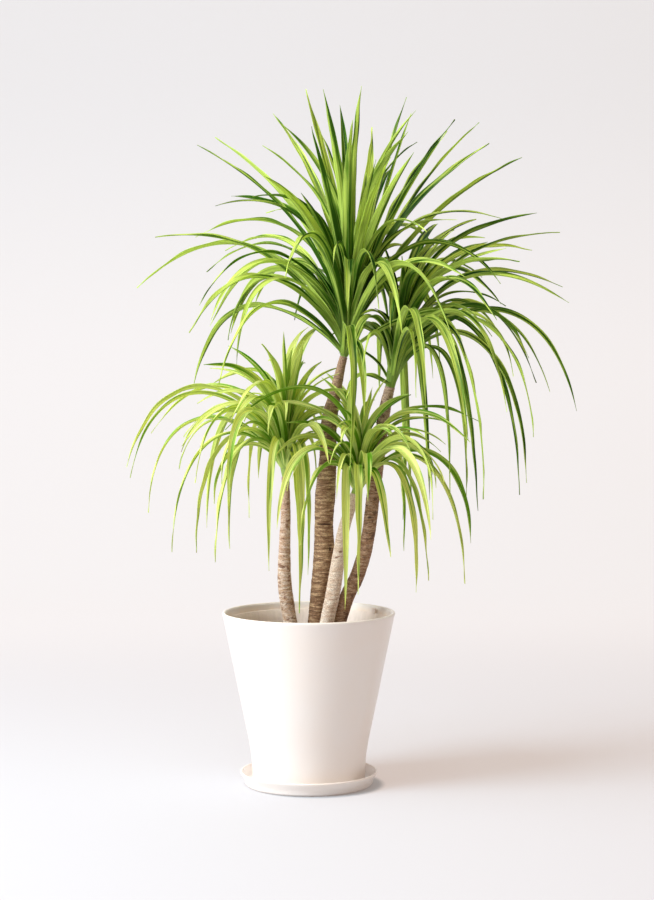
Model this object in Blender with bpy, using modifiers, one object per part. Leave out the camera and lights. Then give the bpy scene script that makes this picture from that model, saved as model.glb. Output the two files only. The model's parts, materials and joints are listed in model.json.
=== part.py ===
"""A dracaena with four canes, in a tapered planter on its saucer, at its real size.

Metres, +Z up. The origin is on the saucer's underside, on the planter's axis. The front faces -Y.
"""
import math
import random

import bmesh
import bpy
from mathutils import Matrix, Vector
from mathutils.bvhtree import BVHTree

# Between pieces that rest on or in each other
GAP = 0.0003

# Sides of the turned pieces, of the holes in the soil and, as a bevel resolution, of the stems
TURNED_SIDES = 36
HOLE_SIDES = 20
STEM_RESOLUTION = 2

# Saucer
SAUCER_RIM_R = 0.1085
SAUCER_FOOT_R = 0.0965
SAUCER_HEIGHT = 0.0215
SAUCER_FLOOR = 0.0070
SAUCER_RIM_ROLL = 0.0016
SAUCER_COVE = 0.0060
SAUCER_HEEL = 0.0050

# Planter: a straight taper that eases into an upright foot
POT_BOTTOM = SAUCER_FLOOR + GAP
POT_TOP = 0.2730
POT_RIM_R = 0.1362
POT_TAPER = 0.205
POT_EASE_Z = 0.075
POT_LIP = 0.0050
POT_WALL = 0.0070
POT_FLOOR = 0.0120
POT_OUTER_ROWS = (0.200, 0.130, POT_EASE_Z, 0.052, 0.032, POT_BOTTOM + 0.004)
POT_INNER_ROWS = (POT_BOTTOM + POT_FLOOR + 0.006, 0.050, POT_EASE_Z, 0.160)
POT_HEEL = 0.0030
POT_COVE = 0.0040
DRAIN_R = 0.0100

# Inner nursery pot
LINER_BOTTOM = POT_BOTTOM + POT_FLOOR + GAP
LINER_TOP = 0.2620
LINER_FOOT_R = 0.0740
LINER_RIM_R = 0.1268
LINER_WALL = 0.0015
LINER_BAND = 0.0120
LINER_BAND_STEP = 0.0014
TAB_HEADING = 34.0
TAB_SIZE = (0.0020, 0.0090, 0.0120)
TAB_REACH = LINER_RIM_R - 0.0014
TAB_MIDDLE = LINER_TOP + 0.0015

# Soil: its edge, and how far its middle stands above that
SOIL_TOP = 0.2220
SOIL_CROWN = 0.0040
SOIL_MIDDLE_R = 0.0500
SOIL_SLOPE_R = 0.0900

# Canes: hand-placed (x, y, z, radius) up the axis, from the foot in the soil to the cut top.
# The first stretch is straight and stands in its hole.
RING_PITCH = 0.0240
RING_RIDGE = 1.03
RING_GROOVE = 0.95
GROOVE_SHARE = 0.3
PATH_STEP = 0.0050
CANES = {
    "cane_a": (
        (0.006, 0.008, 0.160, 0.0140),
        (0.011, 0.008, 0.240, 0.0140),
        (0.018, 0.009, 0.311, 0.0145),
        (0.024, 0.010, 0.355, 0.0168),
        (0.024, 0.010, 0.410, 0.0146),
        (0.026, 0.010, 0.455, 0.0160),
        (0.030, 0.009, 0.510, 0.0138),
        (0.032, 0.008, 0.570, 0.0125),
        (0.044, 0.008, 0.628, 0.0085),
        (0.055, 0.008, 0.674, 0.0060),
    ),
    "cane_b": (
        (0.030, 0.026, 0.160, 0.0115),
        (0.044, 0.026, 0.240, 0.0115),
        (0.060, 0.026, 0.292, 0.0117),
        (0.078, 0.027, 0.330, 0.0115),
        (0.093, 0.027, 0.385, 0.0108),
        (0.103, 0.027, 0.462, 0.0105),
        (0.111, 0.026, 0.522, 0.0100),
        (0.119, 0.024, 0.585, 0.0094),
        (0.128, 0.022, 0.626, 0.0080),
    ),
    "cane_c": (
        (-0.022, -0.004, 0.160, 0.0105),
        (-0.026, -0.005, 0.240, 0.0106),
        (-0.037, -0.006, 0.312, 0.0110),
        (-0.038, -0.007, 0.363, 0.0095),
        (-0.036, -0.007, 0.425, 0.0078),
        (-0.036, -0.007, 0.486, 0.0060),
    ),
    "cane_d": (
        (0.016, -0.028, 0.160, 0.0104),
        (0.024, -0.028, 0.240, 0.0105),
        (0.038, -0.028, 0.305, 0.0112),
        (0.045, -0.028, 0.350, 0.0105),
        (0.055, -0.027, 0.405, 0.0090),
        (0.073, -0.026, 0.460, 0.0076),
    ),
}

# Where a blade's cross-sections lie along it
BLADE_ROWS = (0.0, 0.08, 0.24, 0.44, 0.65, 0.85)

# Leafy heads: the green stem tip that stands on a cane, and its leaves. A leaf's usual reach is the
# chord, the crest is the share of it that the youngest leaves have, and fill is how many leaves
# the spiral adds behind the outline leaves, from the start heading on. Arch is the bend of the
# lowest outline leaves, and ease how late it sets in on higher ones. None starts out flatter than
# the least rise. Crowded shortens the spiral's leaves on the side of a neighbour: above zero
# towards -X, below zero towards +X.
STEM_GIRTHS = ((0.10, 0.75), (0.30, 1.0), (0.65, 0.9), (1.0, 0.4))
HEADS = {
    "crown_a": {"cane": "cane_a", "tip": (0.068, 0.012, 0.782), "girth": 0.0125,
                "width": 0.0212, "chord": 0.40, "crest": 0.74, "fill": 18, "start": 20.0,
                "arch": 54.0, "ease": 1.4, "least_rise": 34.0, "crowded": 0.0},
    "crown_b": {"cane": "cane_b", "tip": (0.146, 0.022, 0.722), "girth": 0.0115,
                "width": 0.0192, "chord": 0.34, "crest": 0.62, "fill": 12, "start": 75.0,
                "arch": 56.0, "ease": 0.75, "least_rise": 56.0, "crowded": 0.5},
    "crown_c": {"cane": "cane_c", "tip": (-0.034, -0.008, 0.560), "girth": 0.0100,
                "width": 0.0178, "chord": 0.27, "crest": 0.72, "fill": 20, "start": 110.0,
                "arch": 66.0, "ease": 0.6, "least_rise": 54.0, "crowded": -0.3},
    "crown_d": {"cane": "cane_d", "tip": (0.082, -0.028, 0.516), "girth": 0.0100,
                "width": 0.0188, "chord": 0.24, "crest": 0.62, "fill": 16, "start": 0.0,
                "arch": 64.0, "ease": 0.7, "least_rise": 54.0, "crowded": 0.0},
}

# The leaves that give each head its outline. Each is (x, z, share): the tip as seen from the
# front, in millimetres in the plane of the planter's axis, and how much of the leaf's reach goes
# back (+) or forward (-). A fourth number is the arch, in degrees, of one that leaves the rule.
EYE = Vector((0.029, -3.327, 0.704))
LEADERS = {
    "crown_a": (
        (-4, 1089, 0.2), (23, 1089, -0.5), (49, 1065, 0.6), (82, 1094, 0.0), (69, 1042, -0.9),
        (99, 1031, 0.9), (152, 1077, 0.3), (164, 992, -0.5), (127, 984, -0.9), (90, 961, 0.3),
        (5, 1032, -0.7), (-55, 1052, 0.9), (-173, 1003, -0.3), (-145, 1015, 0.8),
        (-69, 955, -0.8), (-12, 929, -0.3), (-239, 860, -0.4), (-268, 781, 0.5),
        (-130, 839, 0.9), (-187, 711, -0.6), (-154, 722, 0.9), (-181, 626, 0.5),
        (-142, 630, -0.7), (-37, 797, -0.9), (215, 1025, -0.5), (228, 1042, 0.3),
        (265, 1038, 0.9), (281, 1006, -0.2), (332, 984, 0.1), (229, 692, -0.8),
        (353, 548, -0.7), (65, 496, -0.8), (159, 1052, -0.4), (87, 581, -0.5), (105, 980, -0.6),
    ),
    "crown_b": (
        (202, 881, 0.9), (227, 873, 0.5), (275, 859, 0.9), (308, 843, -0.3), (356, 898, 0.5),
        (392, 868, 0.1), (349, 840, 0.8), (330, 823, -0.6), (271, 798, 0.9), (397, 783, 0.4),
        (407, 758, -0.3), (301, 756, 0.9), (294, 731, -0.9), (357, 633, 0.8),
        (378, 619, 0.5), (420, 589, 0.0), (311, 587, -0.9), (250, 543, -0.8), (222, 450, -0.4),
        (342, 476, -0.3), (266, 432, 0.9), (184, 593, -0.9), (148, 418, 0.9),
        (162, 445, 0.7), (190, 449, 0.8), (59, 609, -0.6, 35.0), (331, 457, 0.6, 112.0),
        (275, 450, -0.5, 122.0), (248, 446, 0.2, 116.0),
    ),
    "crown_c": (
        (-286, 501, 0.2), (-280, 484, -0.5), (-252, 429, 0.5), (-215, 367, -0.3),
        (-177, 366, 0.5), (-147, 351, -0.7), (-124, 372, 0.8), (-178, 476, -0.8),
        (-160, 405, 0.9), (-153, 630, 0.4, 62.0), (-24, 689, -0.3), (-1, 720, 0.5), (16, 722, 0.9),
        (-15, 270, -0.8), (-247, 554, 0.3), (-199, 534, -0.4), (-122, 573, -0.8, 55.0),
        (-149, 443, 0.0), (-62, 337, -0.8), (-125, 433, -0.7), (-94, 421, 0.9), (-14, 367, -0.6),
        (-1, 331, 0.6), (-34, 673, 0.4), (-8, 700, -0.1),
    ),
    "crown_d": (
        (169, 303, -0.5), (189, 322, 0.8), (246, 317, -0.2), (255, 381, 0.4), (192, 386, -0.9),
        (150, 369, 0.9), (129, 359, -0.7), (78, 300, -0.9), (57, 276, -0.6), (-14, 378, -0.8),
        (-131, 559, -0.3, 62.0), (-64, 603, 0.4, 38.0), (160, 615, 0.5), (269, 572, 0.3),
        (253, 540, -0.3), (159, 528, -0.6, 55.0), (26, 650, 0.5), (-50, 402, -0.6),
        (195, 418, -0.7), (70, 640, -0.2),
    ),
}

# Blades: a strap folded along its keel, widest two fifths of the way out
ROOT_WIDTH = 0.36
WIDEST = 0.40
POINT_POWER = 2.1
KEEL = 0.0014
FOLD_ROOT = 38.0
FOLD_BLADE = 14.0
FOLD_ENDS = 0.35

# How a leaf grows: low leaves hang and arch the most, high ones stand up. Angles in degrees.
GOLDEN = 137.508
ARCH_LEAST = 4.0
ARCH_SLOPE = 85.0
ARCH_SPAN = 90.0
STEEPEST = 89.0
HANGING = -88.0
RISE_LOW = 54.0
RISE_GAIN = 32.0
FALL_GAIN = 130.0
OLDEST_REACH = 1.08
SEAT_LOW = 0.10
SEAT_GAIN = 0.85
SEAT_RISES = (36.0, 88.0)
SEAT_ENDS = (0.06, 0.97)
SEAT_DEPTH = 0.62

# How a leaf is bent clear: the room kept to other heads and canes and to leaves of its own head,
# then the turns, slides and lifts that are tried
CLEARANCE = 0.0016
OWN_CLEARANCE = 0.0005
FIRST_FREE_ROW = 1
STEPS = 8
STEP_TURN = 4.0
STEP_SLIDE = 0.012
LIFTS = (0.0, 6.0, -6.0, 12.0, -12.0)

GREEN_DEEP = (0.10, 0.25, 0.03)
GREEN_LIME = (0.33, 0.50, 0.06)


def new_collection(name):
    """A collection linked to the scene."""
    group = bpy.data.collections.new(name)
    bpy.context.scene.collection.children.link(group)
    return group


def make_material(name, color, roughness):
    """A plain Principled material."""
    made = bpy.data.materials.new(name)
    made.use_nodes = True
    shader = made.node_tree.nodes["Principled BSDF"]
    shader.inputs["Base Color"].default_value = (*color, 1.0)
    shader.inputs["Roughness"].default_value = roughness
    return made


def add_object(name, data, material, group):
    """An object for the data, with its material, in the group."""
    piece = bpy.data.objects.new(name, data)
    if material:
        data.materials.append(material)
    group.objects.link(piece)
    return piece


def mesh_from(name, verts, faces):
    """A mesh of the given corners and faces."""
    mesh = bpy.data.meshes.new(name)
    mesh.from_pydata([tuple(v) for v in verts], [], faces)
    mesh.update()
    return mesh


def evaluated_mesh(piece):
    """The piece's final mesh in world space, with caps and seams welded."""
    graph = bpy.context.evaluated_depsgraph_get()
    mesh = bpy.data.meshes.new_from_object(piece.evaluated_get(graph))
    mesh.transform(piece.matrix_world)
    form = bmesh.new()
    form.from_mesh(mesh)
    bmesh.ops.remove_doubles(form, verts=form.verts, dist=1e-6)
    form.to_mesh(mesh)
    form.free()
    return mesh


def turned(name, profile, closed, material, group):
    """A turned solid: (radius, height) points, spun about Z. The outer side runs downwards."""
    count = len(profile)
    mesh = bpy.data.meshes.new(name)
    edges = [(i, i + 1) for i in range(count - 1)] + ([(count - 1, 0)] if closed else [])
    mesh.from_pydata([(r, 0.0, z) for r, z in profile], edges, [])
    piece = add_object(name, mesh, material, group)
    screw = piece.modifiers.new("spin", "SCREW")
    screw.steps = screw.render_steps = TURNED_SIDES
    screw.use_merge_vertices = True
    screw.merge_threshold = 1e-5
    screw.use_smooth_shade = True
    return piece


def combine(piece, operation, tool, cutters):
    """Adds the tool to the piece or cuts it out, and keeps the tool hidden with the cutters."""
    for group in tool.users_collection:
        group.objects.unlink(tool)
    cutters.objects.link(tool)
    tool.hide_render = True
    tool.display_type = "WIRE"
    boolean = piece.modifiers.new(tool.name, "BOOLEAN")
    boolean.operation = operation
    boolean.object = tool


def arc(center, radius, start, end, steps):
    """(radius, height) points on an arc of a profile, angles in degrees."""
    angles = [math.radians(start + (end - start) * i / steps) for i in range(steps + 1)]
    return [(center[0] + radius * math.cos(a), center[1] + radius * math.sin(a)) for a in angles]


def build_saucer(material, group):
    """A shallow dish with a flared side and a rolled rim."""
    roll = SAUCER_RIM_ROLL
    floor_r = SAUCER_FOOT_R - 0.0035
    profile = [(0.0, SAUCER_FLOOR), (floor_r, SAUCER_FLOOR)]
    profile += arc((floor_r, SAUCER_FLOOR + SAUCER_COVE), SAUCER_COVE, -60, -10, 2)
    profile += arc((SAUCER_RIM_R - roll, SAUCER_HEIGHT - roll), roll, 165, 0, 3)
    profile += [(SAUCER_RIM_R - 0.0010, SAUCER_HEIGHT - 3 * roll)]
    profile += arc((SAUCER_FOOT_R, SAUCER_HEEL), SAUCER_HEEL, -15, -90, 3)
    profile += [(0.0, 0.0)]
    return turned("saucer", profile, False, material, group)


def pot_radius(z):
    """The planter's outer radius at a height."""
    straight = POT_RIM_R - POT_TAPER * (POT_TOP - z)
    below = max(POT_EASE_Z - z, 0.0)
    return straight + POT_TAPER / (2 * (POT_EASE_Z - POT_BOTTOM)) * below * below


def pot_inner_radius(z):
    """The planter's inner radius: the wall thins from the floor to the lip."""
    share = (z - POT_BOTTOM) / (POT_TOP - POT_BOTTOM)
    return pot_radius(z) - (POT_WALL + (POT_LIP - POT_WALL) * share)


def build_pot(material, group):
    """The tall tapered planter, with a rounded lip and a drain hole in its floor."""
    floor = POT_BOTTOM + POT_FLOOR
    lip = POT_LIP / 2
    profile = arc((POT_RIM_R - lip, POT_TOP - lip), lip, 150, 0, 3)
    profile += [(pot_radius(z), z) for z in POT_OUTER_ROWS]
    profile += [(pot_radius(POT_BOTTOM) - POT_HEEL, POT_BOTTOM), (DRAIN_R, POT_BOTTOM)]
    profile += [(DRAIN_R, floor), (pot_inner_radius(floor) - POT_COVE, floor)]
    profile += [(pot_inner_radius(z), z) for z in POT_INNER_ROWS]
    return turned("pot", profile, True, material, group)


def liner_radius(z):
    """The nursery pot's outer radius at a height."""
    share = (z - LINER_BOTTOM) / (LINER_TOP - LINER_BOTTOM)
    return LINER_FOOT_R + (LINER_RIM_R - LINER_BAND_STEP - LINER_FOOT_R) * share


def build_liner(material, group, cutters):
    """The thin nursery pot: a thicker band round its rim, a drain hole and a lifting tab."""
    band = LINER_TOP - LINER_BAND
    floor = LINER_BOTTOM + LINER_WALL
    profile = [
        (liner_radius(LINER_TOP) - LINER_WALL, LINER_TOP),
        (LINER_RIM_R, LINER_TOP),
        (liner_radius(band) + LINER_BAND_STEP, band),
        (liner_radius(band), band - LINER_BAND_STEP),
        (LINER_FOOT_R, LINER_BOTTOM),
        (DRAIN_R, LINER_BOTTOM),
        (DRAIN_R, floor),
        (liner_radius(floor) - LINER_WALL, floor),
    ]
    liner = turned("nursery_pot", profile, True, material, group)
    bpy.ops.mesh.primitive_cube_add(size=1.0)
    tab = bpy.context.object
    tab.name = "lifting_tab"
    tab.data.transform(Matrix.Diagonal((*TAB_SIZE, 1.0)))
    tab.location = direction(TAB_HEADING, 0.0) * TAB_REACH + Vector((0.0, 0.0, TAB_MIDDLE))
    tab.rotation_euler = (0.0, 0.0, math.radians(TAB_HEADING))
    combine(liner, "UNION", tab, cutters)
    return liner


def build_soil(material, group, cutters):
    """The potting mix, a little higher in the middle, with a plain hole for each cane."""
    bottom = LINER_BOTTOM + LINER_WALL + GAP
    gap = LINER_WALL + GAP / math.cos(math.pi / TURNED_SIDES)
    profile = [
        (0.0, SOIL_TOP + SOIL_CROWN),
        (SOIL_MIDDLE_R, SOIL_TOP + SOIL_CROWN),
        (SOIL_SLOPE_R, SOIL_TOP + SOIL_CROWN / 2),
        (liner_radius(SOIL_TOP) - gap, SOIL_TOP),
        (liner_radius(bottom) - gap, bottom),
        (0.0, bottom),
    ]
    soil = turned("soil", profile, False, material, group)
    for name, points in CANES.items():
        foot, collar = Vector(points[0][:3]), Vector(points[1][:3])
        axis = (collar - foot).normalized()
        foot = foot - axis * GAP
        radius = (points[0][3] + GAP) / math.cos(math.pi / HOLE_SIDES)
        bpy.ops.mesh.primitive_cylinder_add(
            vertices=HOLE_SIDES, radius=radius, depth=(collar - foot).length,
            location=(foot + collar) / 2, rotation=axis.to_track_quat("Z", "Y").to_euler())
        hole = bpy.context.object
        hole.name = name + "_hole"
        combine(soil, "DIFFERENCE", hole, cutters)
    return soil


def smooth_path(points):
    """A smooth curve through (x, y, z, radius) points, as a dense list of the same."""
    rows = [Vector(p) for p in points]
    path = []
    for i in range(len(rows) - 1):
        a, b, c, d = rows[max(i - 1, 0)], rows[i], rows[i + 1], rows[min(i + 2, len(rows) - 1)]
        steps = max(int((c.xyz - b.xyz).length / PATH_STEP), 1)
        for k in range(steps):
            t = k / steps
            path.append(0.5 * ((2 * b) + (c - a) * t + (2 * a - 5 * b + 4 * c - d) * t * t
                               + (3 * b - a - 3 * c + d) * t * t * t))
    path.append(rows[-1])
    return path


def at_length(path, wanted):
    """The point of a path at a length along it."""
    run = 0.0
    for a, b in zip(path, path[1:]):
        step = (b.xyz - a.xyz).length
        if run + step >= wanted:
            return a.lerp(b, (wanted - run) / step)
        run += step
    return path[-1].copy()


def tube(name, path, material, group):
    """A round stem along (x, y, z, radius) points, with flat closed ends."""
    curve = bpy.data.curves.new(name, "CURVE")
    curve.dimensions = "3D"
    curve.bevel_depth = 1.0
    curve.bevel_resolution = STEM_RESOLUTION
    curve.use_fill_caps = True
    spline = curve.splines.new("POLY")
    spline.points.add(len(path) - 1)
    for point, row in zip(spline.points, path):
        point.co = (row[0], row[1], row[2], 1.0)
        point.radius = row[3]
    return add_object(name, curve, material, group)


def cane_path(points):
    """The cane's rows: straight in the soil, then a ridge and a groove for each leaf scar."""
    foot, collar = Vector(points[0]), Vector(points[1])
    path = smooth_path(points[1:])
    total = sum((b.xyz - a.xyz).length for a, b in zip(path, path[1:]))
    rows = [foot, collar]
    for ring in range(1, int(total / RING_PITCH)):
        ridge = at_length(path, ring * RING_PITCH)
        groove = at_length(path, (ring + GROOVE_SHARE) * RING_PITCH)
        ridge[3] *= RING_RIDGE
        groove[3] *= RING_GROOVE
        rows += [ridge, groove]
    rows.append(path[-1])
    return rows


def direction(heading, rise):
    """A unit direction from a heading round Z and a rise above the level, in degrees."""
    h, r = math.radians(heading), math.radians(rise)
    return Vector((math.cos(h) * math.cos(r), math.sin(h) * math.cos(r), math.sin(r)))


def stem_rows(head):
    """The green stem tip as (x, y, z, radius) rows, from just over the cane to the apex."""
    foot, before = Vector(CANES[head["cane"]][-1]), cane_path(CANES[head["cane"]])[-2]
    axis = (foot.xyz - before.xyz).normalized()
    base = foot.xyz + axis * GAP
    tip = Vector(head["tip"])
    length = (tip - base).length
    rows = [Vector((*base, foot[3]))]
    for share, girth in STEM_GIRTHS:
        lean = base + axis * length * share
        place = lean.lerp(base.lerp(tip, share), share)
        rows.append(Vector((*place, head["girth"] * girth)))
    return rows


def stem_point(rows, share):
    """A point (x, y, z, radius) of the stem tip at a share of the way through its rows."""
    place = share * (len(rows) - 1)
    i = min(int(place), len(rows) - 2)
    return rows[i].lerp(rows[i + 1], place - i)


def at_depth(x, z, y):
    """The point at depth y that is seen in line with (x, z) in the plane of the axis."""
    ray = Vector((x, 0.0, z)) - EYE
    return EYE + ray * ((y - EYE.y) / ray.y)


def leader(rows, head, tip, draw, step, lift):
    """The four curve points of an outline leaf; the step slides its tip back or forward."""
    middle = stem_point(rows, 0.6).xyz
    x, z, share, *own_arch = tip
    flat = Vector((x / 1000 - middle.x, 0.0, z / 1000 - middle.z))
    spare = max(head["chord"] ** 2 - flat.length_squared, 0.0)
    end = at_depth(x / 1000, z / 1000, middle.y + share * math.sqrt(spare) + STEP_SLIDE * step)
    reach = end - middle
    slope = math.degrees(math.atan2(reach.z, reach.xy.length))
    low = min(max((ARCH_SLOPE - slope) / ARCH_SPAN, 0.0), 1.0)
    arch = own_arch[0] if own_arch else ARCH_LEAST + head["arch"] * low ** head["ease"]
    arch += draw["lift"] + lift
    rise = slope + arch if own_arch else max(slope + arch, head["least_rise"])
    rise, fall = min(rise, STEEPEST), max(slope - arch, HANGING)
    heading = math.degrees(math.atan2(reach.y, reach.x))
    return bend(rows, heading, rise, fall, draw, end, None)


def filler(rows, head, index, draw, step, lift):
    """The four curve points of a leaf placed by the spiral; the step turns it round the stem."""
    share = (index + 0.5) / head["fill"]
    heading = head["start"] + GOLDEN * index + STEP_TURN * step
    rise = RISE_LOW + RISE_GAIN * share + draw["lift"] + lift
    fall = max(HANGING + FALL_GAIN * share ** 1.4 + 3.0 * draw["lift"], HANGING)
    reach = OLDEST_REACH + (head["crest"] - OLDEST_REACH) * share + draw["length"]
    reach *= 1.0 - max(-head["crowded"] * direction(heading, 0.0).x, 0.0)
    return bend(rows, heading, rise, fall, draw, None, head["chord"] * reach)


def bend(rows, heading, rise, fall, draw, end, length):
    """A leaf's four curve points, from inside the stem out to the given end or length."""
    upright = (rise - SEAT_RISES[0]) / (SEAT_RISES[1] - SEAT_RISES[0])
    height = SEAT_LOW + SEAT_GAIN * min(max(upright, 0.0), 1.0) + draw["height"]
    seat = stem_point(rows, min(max(height, SEAT_ENDS[0]), SEAT_ENDS[1]))
    root = seat.xyz + direction(heading, 0.0) * seat[3] * SEAT_DEPTH
    side = direction(heading + 90.0, 0.0) * draw["sway"]
    if end is None:
        first = root + direction(heading, rise) * length * 0.42
        second = first + direction(heading, (rise + fall) / 2) * length * 0.27 + side
        return root, first, second, second + direction(heading, fall) * length * 0.34
    chord = (end - root).length
    arched = min((rise - fall) / 150.0, 1.0) ** 2
    first = root + direction(heading, rise) * chord * (0.38 + 0.26 * arched)
    second = end - direction(heading, fall) * chord * (0.34 + 0.45 * arched) + side
    return root, first, second, end


def curve_point(points, t):
    """The place and the direction of travel at t on a cubic curve."""
    a, b, c, d = points
    u = 1.0 - t
    place = a * u ** 3 + b * 3 * u * u * t + c * 3 * u * t * t + d * t ** 3
    travel = (b - a) * u * u + (c - b) * 2 * u * t + (d - c) * t * t
    return place, travel.normalized()


def width_share(t):
    """A strap leaf's width along its length: narrow root, full middle, long point."""
    if t < WIDEST:
        ease = math.sin(math.pi / 2 * t / WIDEST)
        return ROOT_WIDTH + (1.0 - ROOT_WIDTH) * ease
    return 1.0 - ((t - WIDEST) / (1.0 - WIDEST)) ** POINT_POWER


def blade(points, stations, width, twist, grow):
    """Corners and triangles of a folded blade. Grow thickens it on every side."""
    heading = math.atan2(points[3].y - points[0].y, points[3].x - points[0].x)
    across = Vector((-math.sin(heading), math.cos(heading), 0.0))
    verts = []
    for t in stations:
        place, travel = curve_point(points, t)
        normal = across.cross(travel).normalized() * -1.0
        roll = Matrix.Rotation(math.radians(twist * t), 3, travel)
        side = roll @ travel.cross(normal).normalized()
        normal = roll @ normal
        half = width * width_share(t) / 2
        fold = math.radians(FOLD_ROOT + (FOLD_BLADE - FOLD_ROOT) * min(t / FOLD_ENDS, 1.0))
        edge = side * (half * math.cos(fold) + grow)
        lift = normal * half * math.sin(fold)
        verts += [place + edge + lift, place + normal * grow,
                  place - edge + lift, place - normal * (KEEL + grow)]
    verts.append(points[3].copy())
    faces = [(0, 1, 3), (1, 2, 3)]
    for row in range(len(stations) - 1):
        for k in range(4):
            a, b = 4 * row + k, 4 * row + (k + 1) % 4
            c, d = b + 4, a + 4
            # both faces of a half split along the same diagonal
            faces += [(a, d, c), (a, c, b)] if k in (0, 2) else [(a, d, b), (b, d, c)]
    last = 4 * (len(stations) - 1)
    faces += [(last + k, len(verts) - 1, last + (k + 1) % 4) for k in range(4)]
    return verts, faces


def leaf_draws(name, kind, index):
    """The seeded differences between one leaf and the rule."""
    draw = random.Random(f"{name} {kind} {index}")
    return {
        "lift": draw.uniform(-4.0, 4.0),
        "height": draw.uniform(-0.05, 0.05),
        "sway": draw.uniform(-0.016, 0.016),
        "twist": draw.uniform(-60.0, 60.0),
        "length": draw.uniform(-0.10, 0.06),
        "width": draw.uniform(0.82, 1.04),
    }


def tries():
    """The changes of lift and step to try in turn, until a leaf is clear of the others."""
    for lift in LIFTS:
        yield lift, 0
        for step in range(1, STEPS + 1):
            yield lift, step
            yield lift, -step


def search_tree(shapes, first_face=0):
    """One search tree of several (corners, faces) shapes, from a face number on."""
    verts, faces = [], []
    for corners, triangles in shapes:
        start = len(verts)
        verts += corners
        faces += [[start + i for i in face] for face in triangles[first_face:]]
    return BVHTree.FromPolygons(verts, faces) if faces else None


def mesh_shape(mesh):
    """A mesh as (corners, faces)."""
    return [v.co.copy() for v in mesh.vertices], [list(p.vertices) for p in mesh.polygons]


def row_face(row):
    """The number of a blade's first face beyond a row: two root faces, then eight a stretch."""
    return 2 + 8 * row


def place_leaves(stems, solids):
    """Every leaf of every head as (corners, faces), each bent clear of what stands already."""
    free = row_face(FIRST_FREE_ROW)
    hard = search_tree([mesh_shape(mesh) for mesh in solids])
    rows = {name: stem_rows(head) for name, head in HEADS.items()}
    shapes = {name: [] for name in HEADS}
    whole = {name: search_tree([mesh_shape(stems[name])]) for name in HEADS}
    outer = {name: None for name in HEADS}
    wanted = [(name, "leader", i, tip) for name in HEADS for i, tip in enumerate(LEADERS[name])]
    most = max(head["fill"] for head in HEADS.values())
    wanted += [(name, "filler", i, None) for i in range(most) for name in HEADS
               if i < HEADS[name]["fill"]]
    for name, kind, index, tip in wanted:
        head, draw = HEADS[name], leaf_draws(name, kind, index)
        for lift, step in tries():
            if kind == "leader":
                points = leader(rows[name], head, tip, draw, step, lift)
            else:
                points = filler(rows[name], head, index, draw, step, lift)
            form = (points, BLADE_ROWS, head["width"] * draw["width"], draw["twist"])
            slim, guard = blade(*form, OWN_CLEARANCE), blade(*form, CLEARANCE)
            if outer[name] and search_tree([slim], free).overlap(outer[name]):
                continue
            if search_tree([guard], free).overlap(hard):
                continue
            entire = search_tree([guard])
            if any(entire.overlap(whole[other]) for other in HEADS if other != name):
                continue
            shapes[name].append(blade(*form, 0.0))
            whole[name] = search_tree([mesh_shape(stems[name])] + shapes[name])
            outer[name] = search_tree(shapes[name], free)
            break
    return shapes


def keep_largest_shell(mesh):
    """Drops every loose scrap and sealed hollow that joining may leave."""
    form = bmesh.new()
    form.from_mesh(mesh)
    left, shells = set(form.verts), []
    while left:
        shell, edge = set(), [left.pop()]
        while edge:
            vert = edge.pop()
            shell.add(vert)
            near = {e.other_vert(vert) for e in vert.link_edges} & left
            left -= near
            edge += near
        shells.append(shell)
    shells.sort(key=len)
    for shell in shells[:-1]:
        bmesh.ops.delete(form, geom=list(shell), context="VERTS")
    bmesh.ops.triangulate(form, faces=form.faces)
    form.to_mesh(mesh)
    form.free()


def grow_head(name, stem, shapes, material, group):
    """One head: the green stem tip with all its leaves joined to it."""
    crown = add_object(name, stem, material, group)
    leaves = new_collection(name + "_leaves")
    for index, (corners, faces) in enumerate(shapes):
        add_object(f"{name}_leaf_{index}", mesh_from("leaf", corners, faces), None, leaves)
    union = crown.modifiers.new("leaves", "BOOLEAN")
    union.operation = "UNION"
    union.operand_type = "COLLECTION"
    union.collection = leaves
    union.solver = "EXACT"
    bpy.context.view_layer.objects.active = crown
    bpy.ops.object.modifier_apply(modifier=union.name)
    for leaf in list(leaves.objects):
        bpy.data.objects.remove(leaf)
    bpy.data.collections.remove(leaves)
    keep_largest_shell(crown.data)
    return crown


def main():
    """Builds the potted plant from the floor up."""
    for piece in list(bpy.data.objects):
        bpy.data.objects.remove(piece)
    plant = new_collection("potted_dracaena")
    cutters = new_collection("cutters")
    glaze = make_material("glaze", (0.86, 0.84, 0.82), 0.35)
    plastic = make_material("liner_plastic", (0.62, 0.52, 0.45), 0.5)
    mix = make_material("potting_mix", (0.07, 0.045, 0.03), 0.95)
    bark = make_material("bark", (0.32, 0.22, 0.14), 0.85)
    pale_bark = make_material("pale_bark", (0.50, 0.38, 0.26), 0.85)
    deep = make_material("leaf_green", GREEN_DEEP, 0.45)
    lime = make_material("leaf_lime", GREEN_LIME, 0.45)
    solids = [
        build_saucer(glaze, plant),
        build_pot(glaze, plant),
        build_liner(plastic, plant, cutters),
        build_soil(mix, plant, cutters),
    ]
    for name, points in CANES.items():
        skin = bark if name in ("cane_a", "cane_b") else pale_bark
        solids.append(tube(name, cane_path(points), skin, plant))
    bpy.context.view_layer.update()
    meshes = [evaluated_mesh(piece) for piece in solids]
    stems = {}
    for name, head in HEADS.items():
        guide = tube(name + "_stem", stem_rows(head), None, cutters)
        bpy.context.view_layer.update()
        stems[name] = evaluated_mesh(guide)
        bpy.data.objects.remove(guide)
    shapes = place_leaves(stems, meshes)
    for mesh in meshes:
        bpy.data.meshes.remove(mesh)
    for name in HEADS:
        color = deep if name in ("crown_a", "crown_b") else lime
        grow_head(name, stems[name], shapes[name], color, plant)


main()
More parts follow.
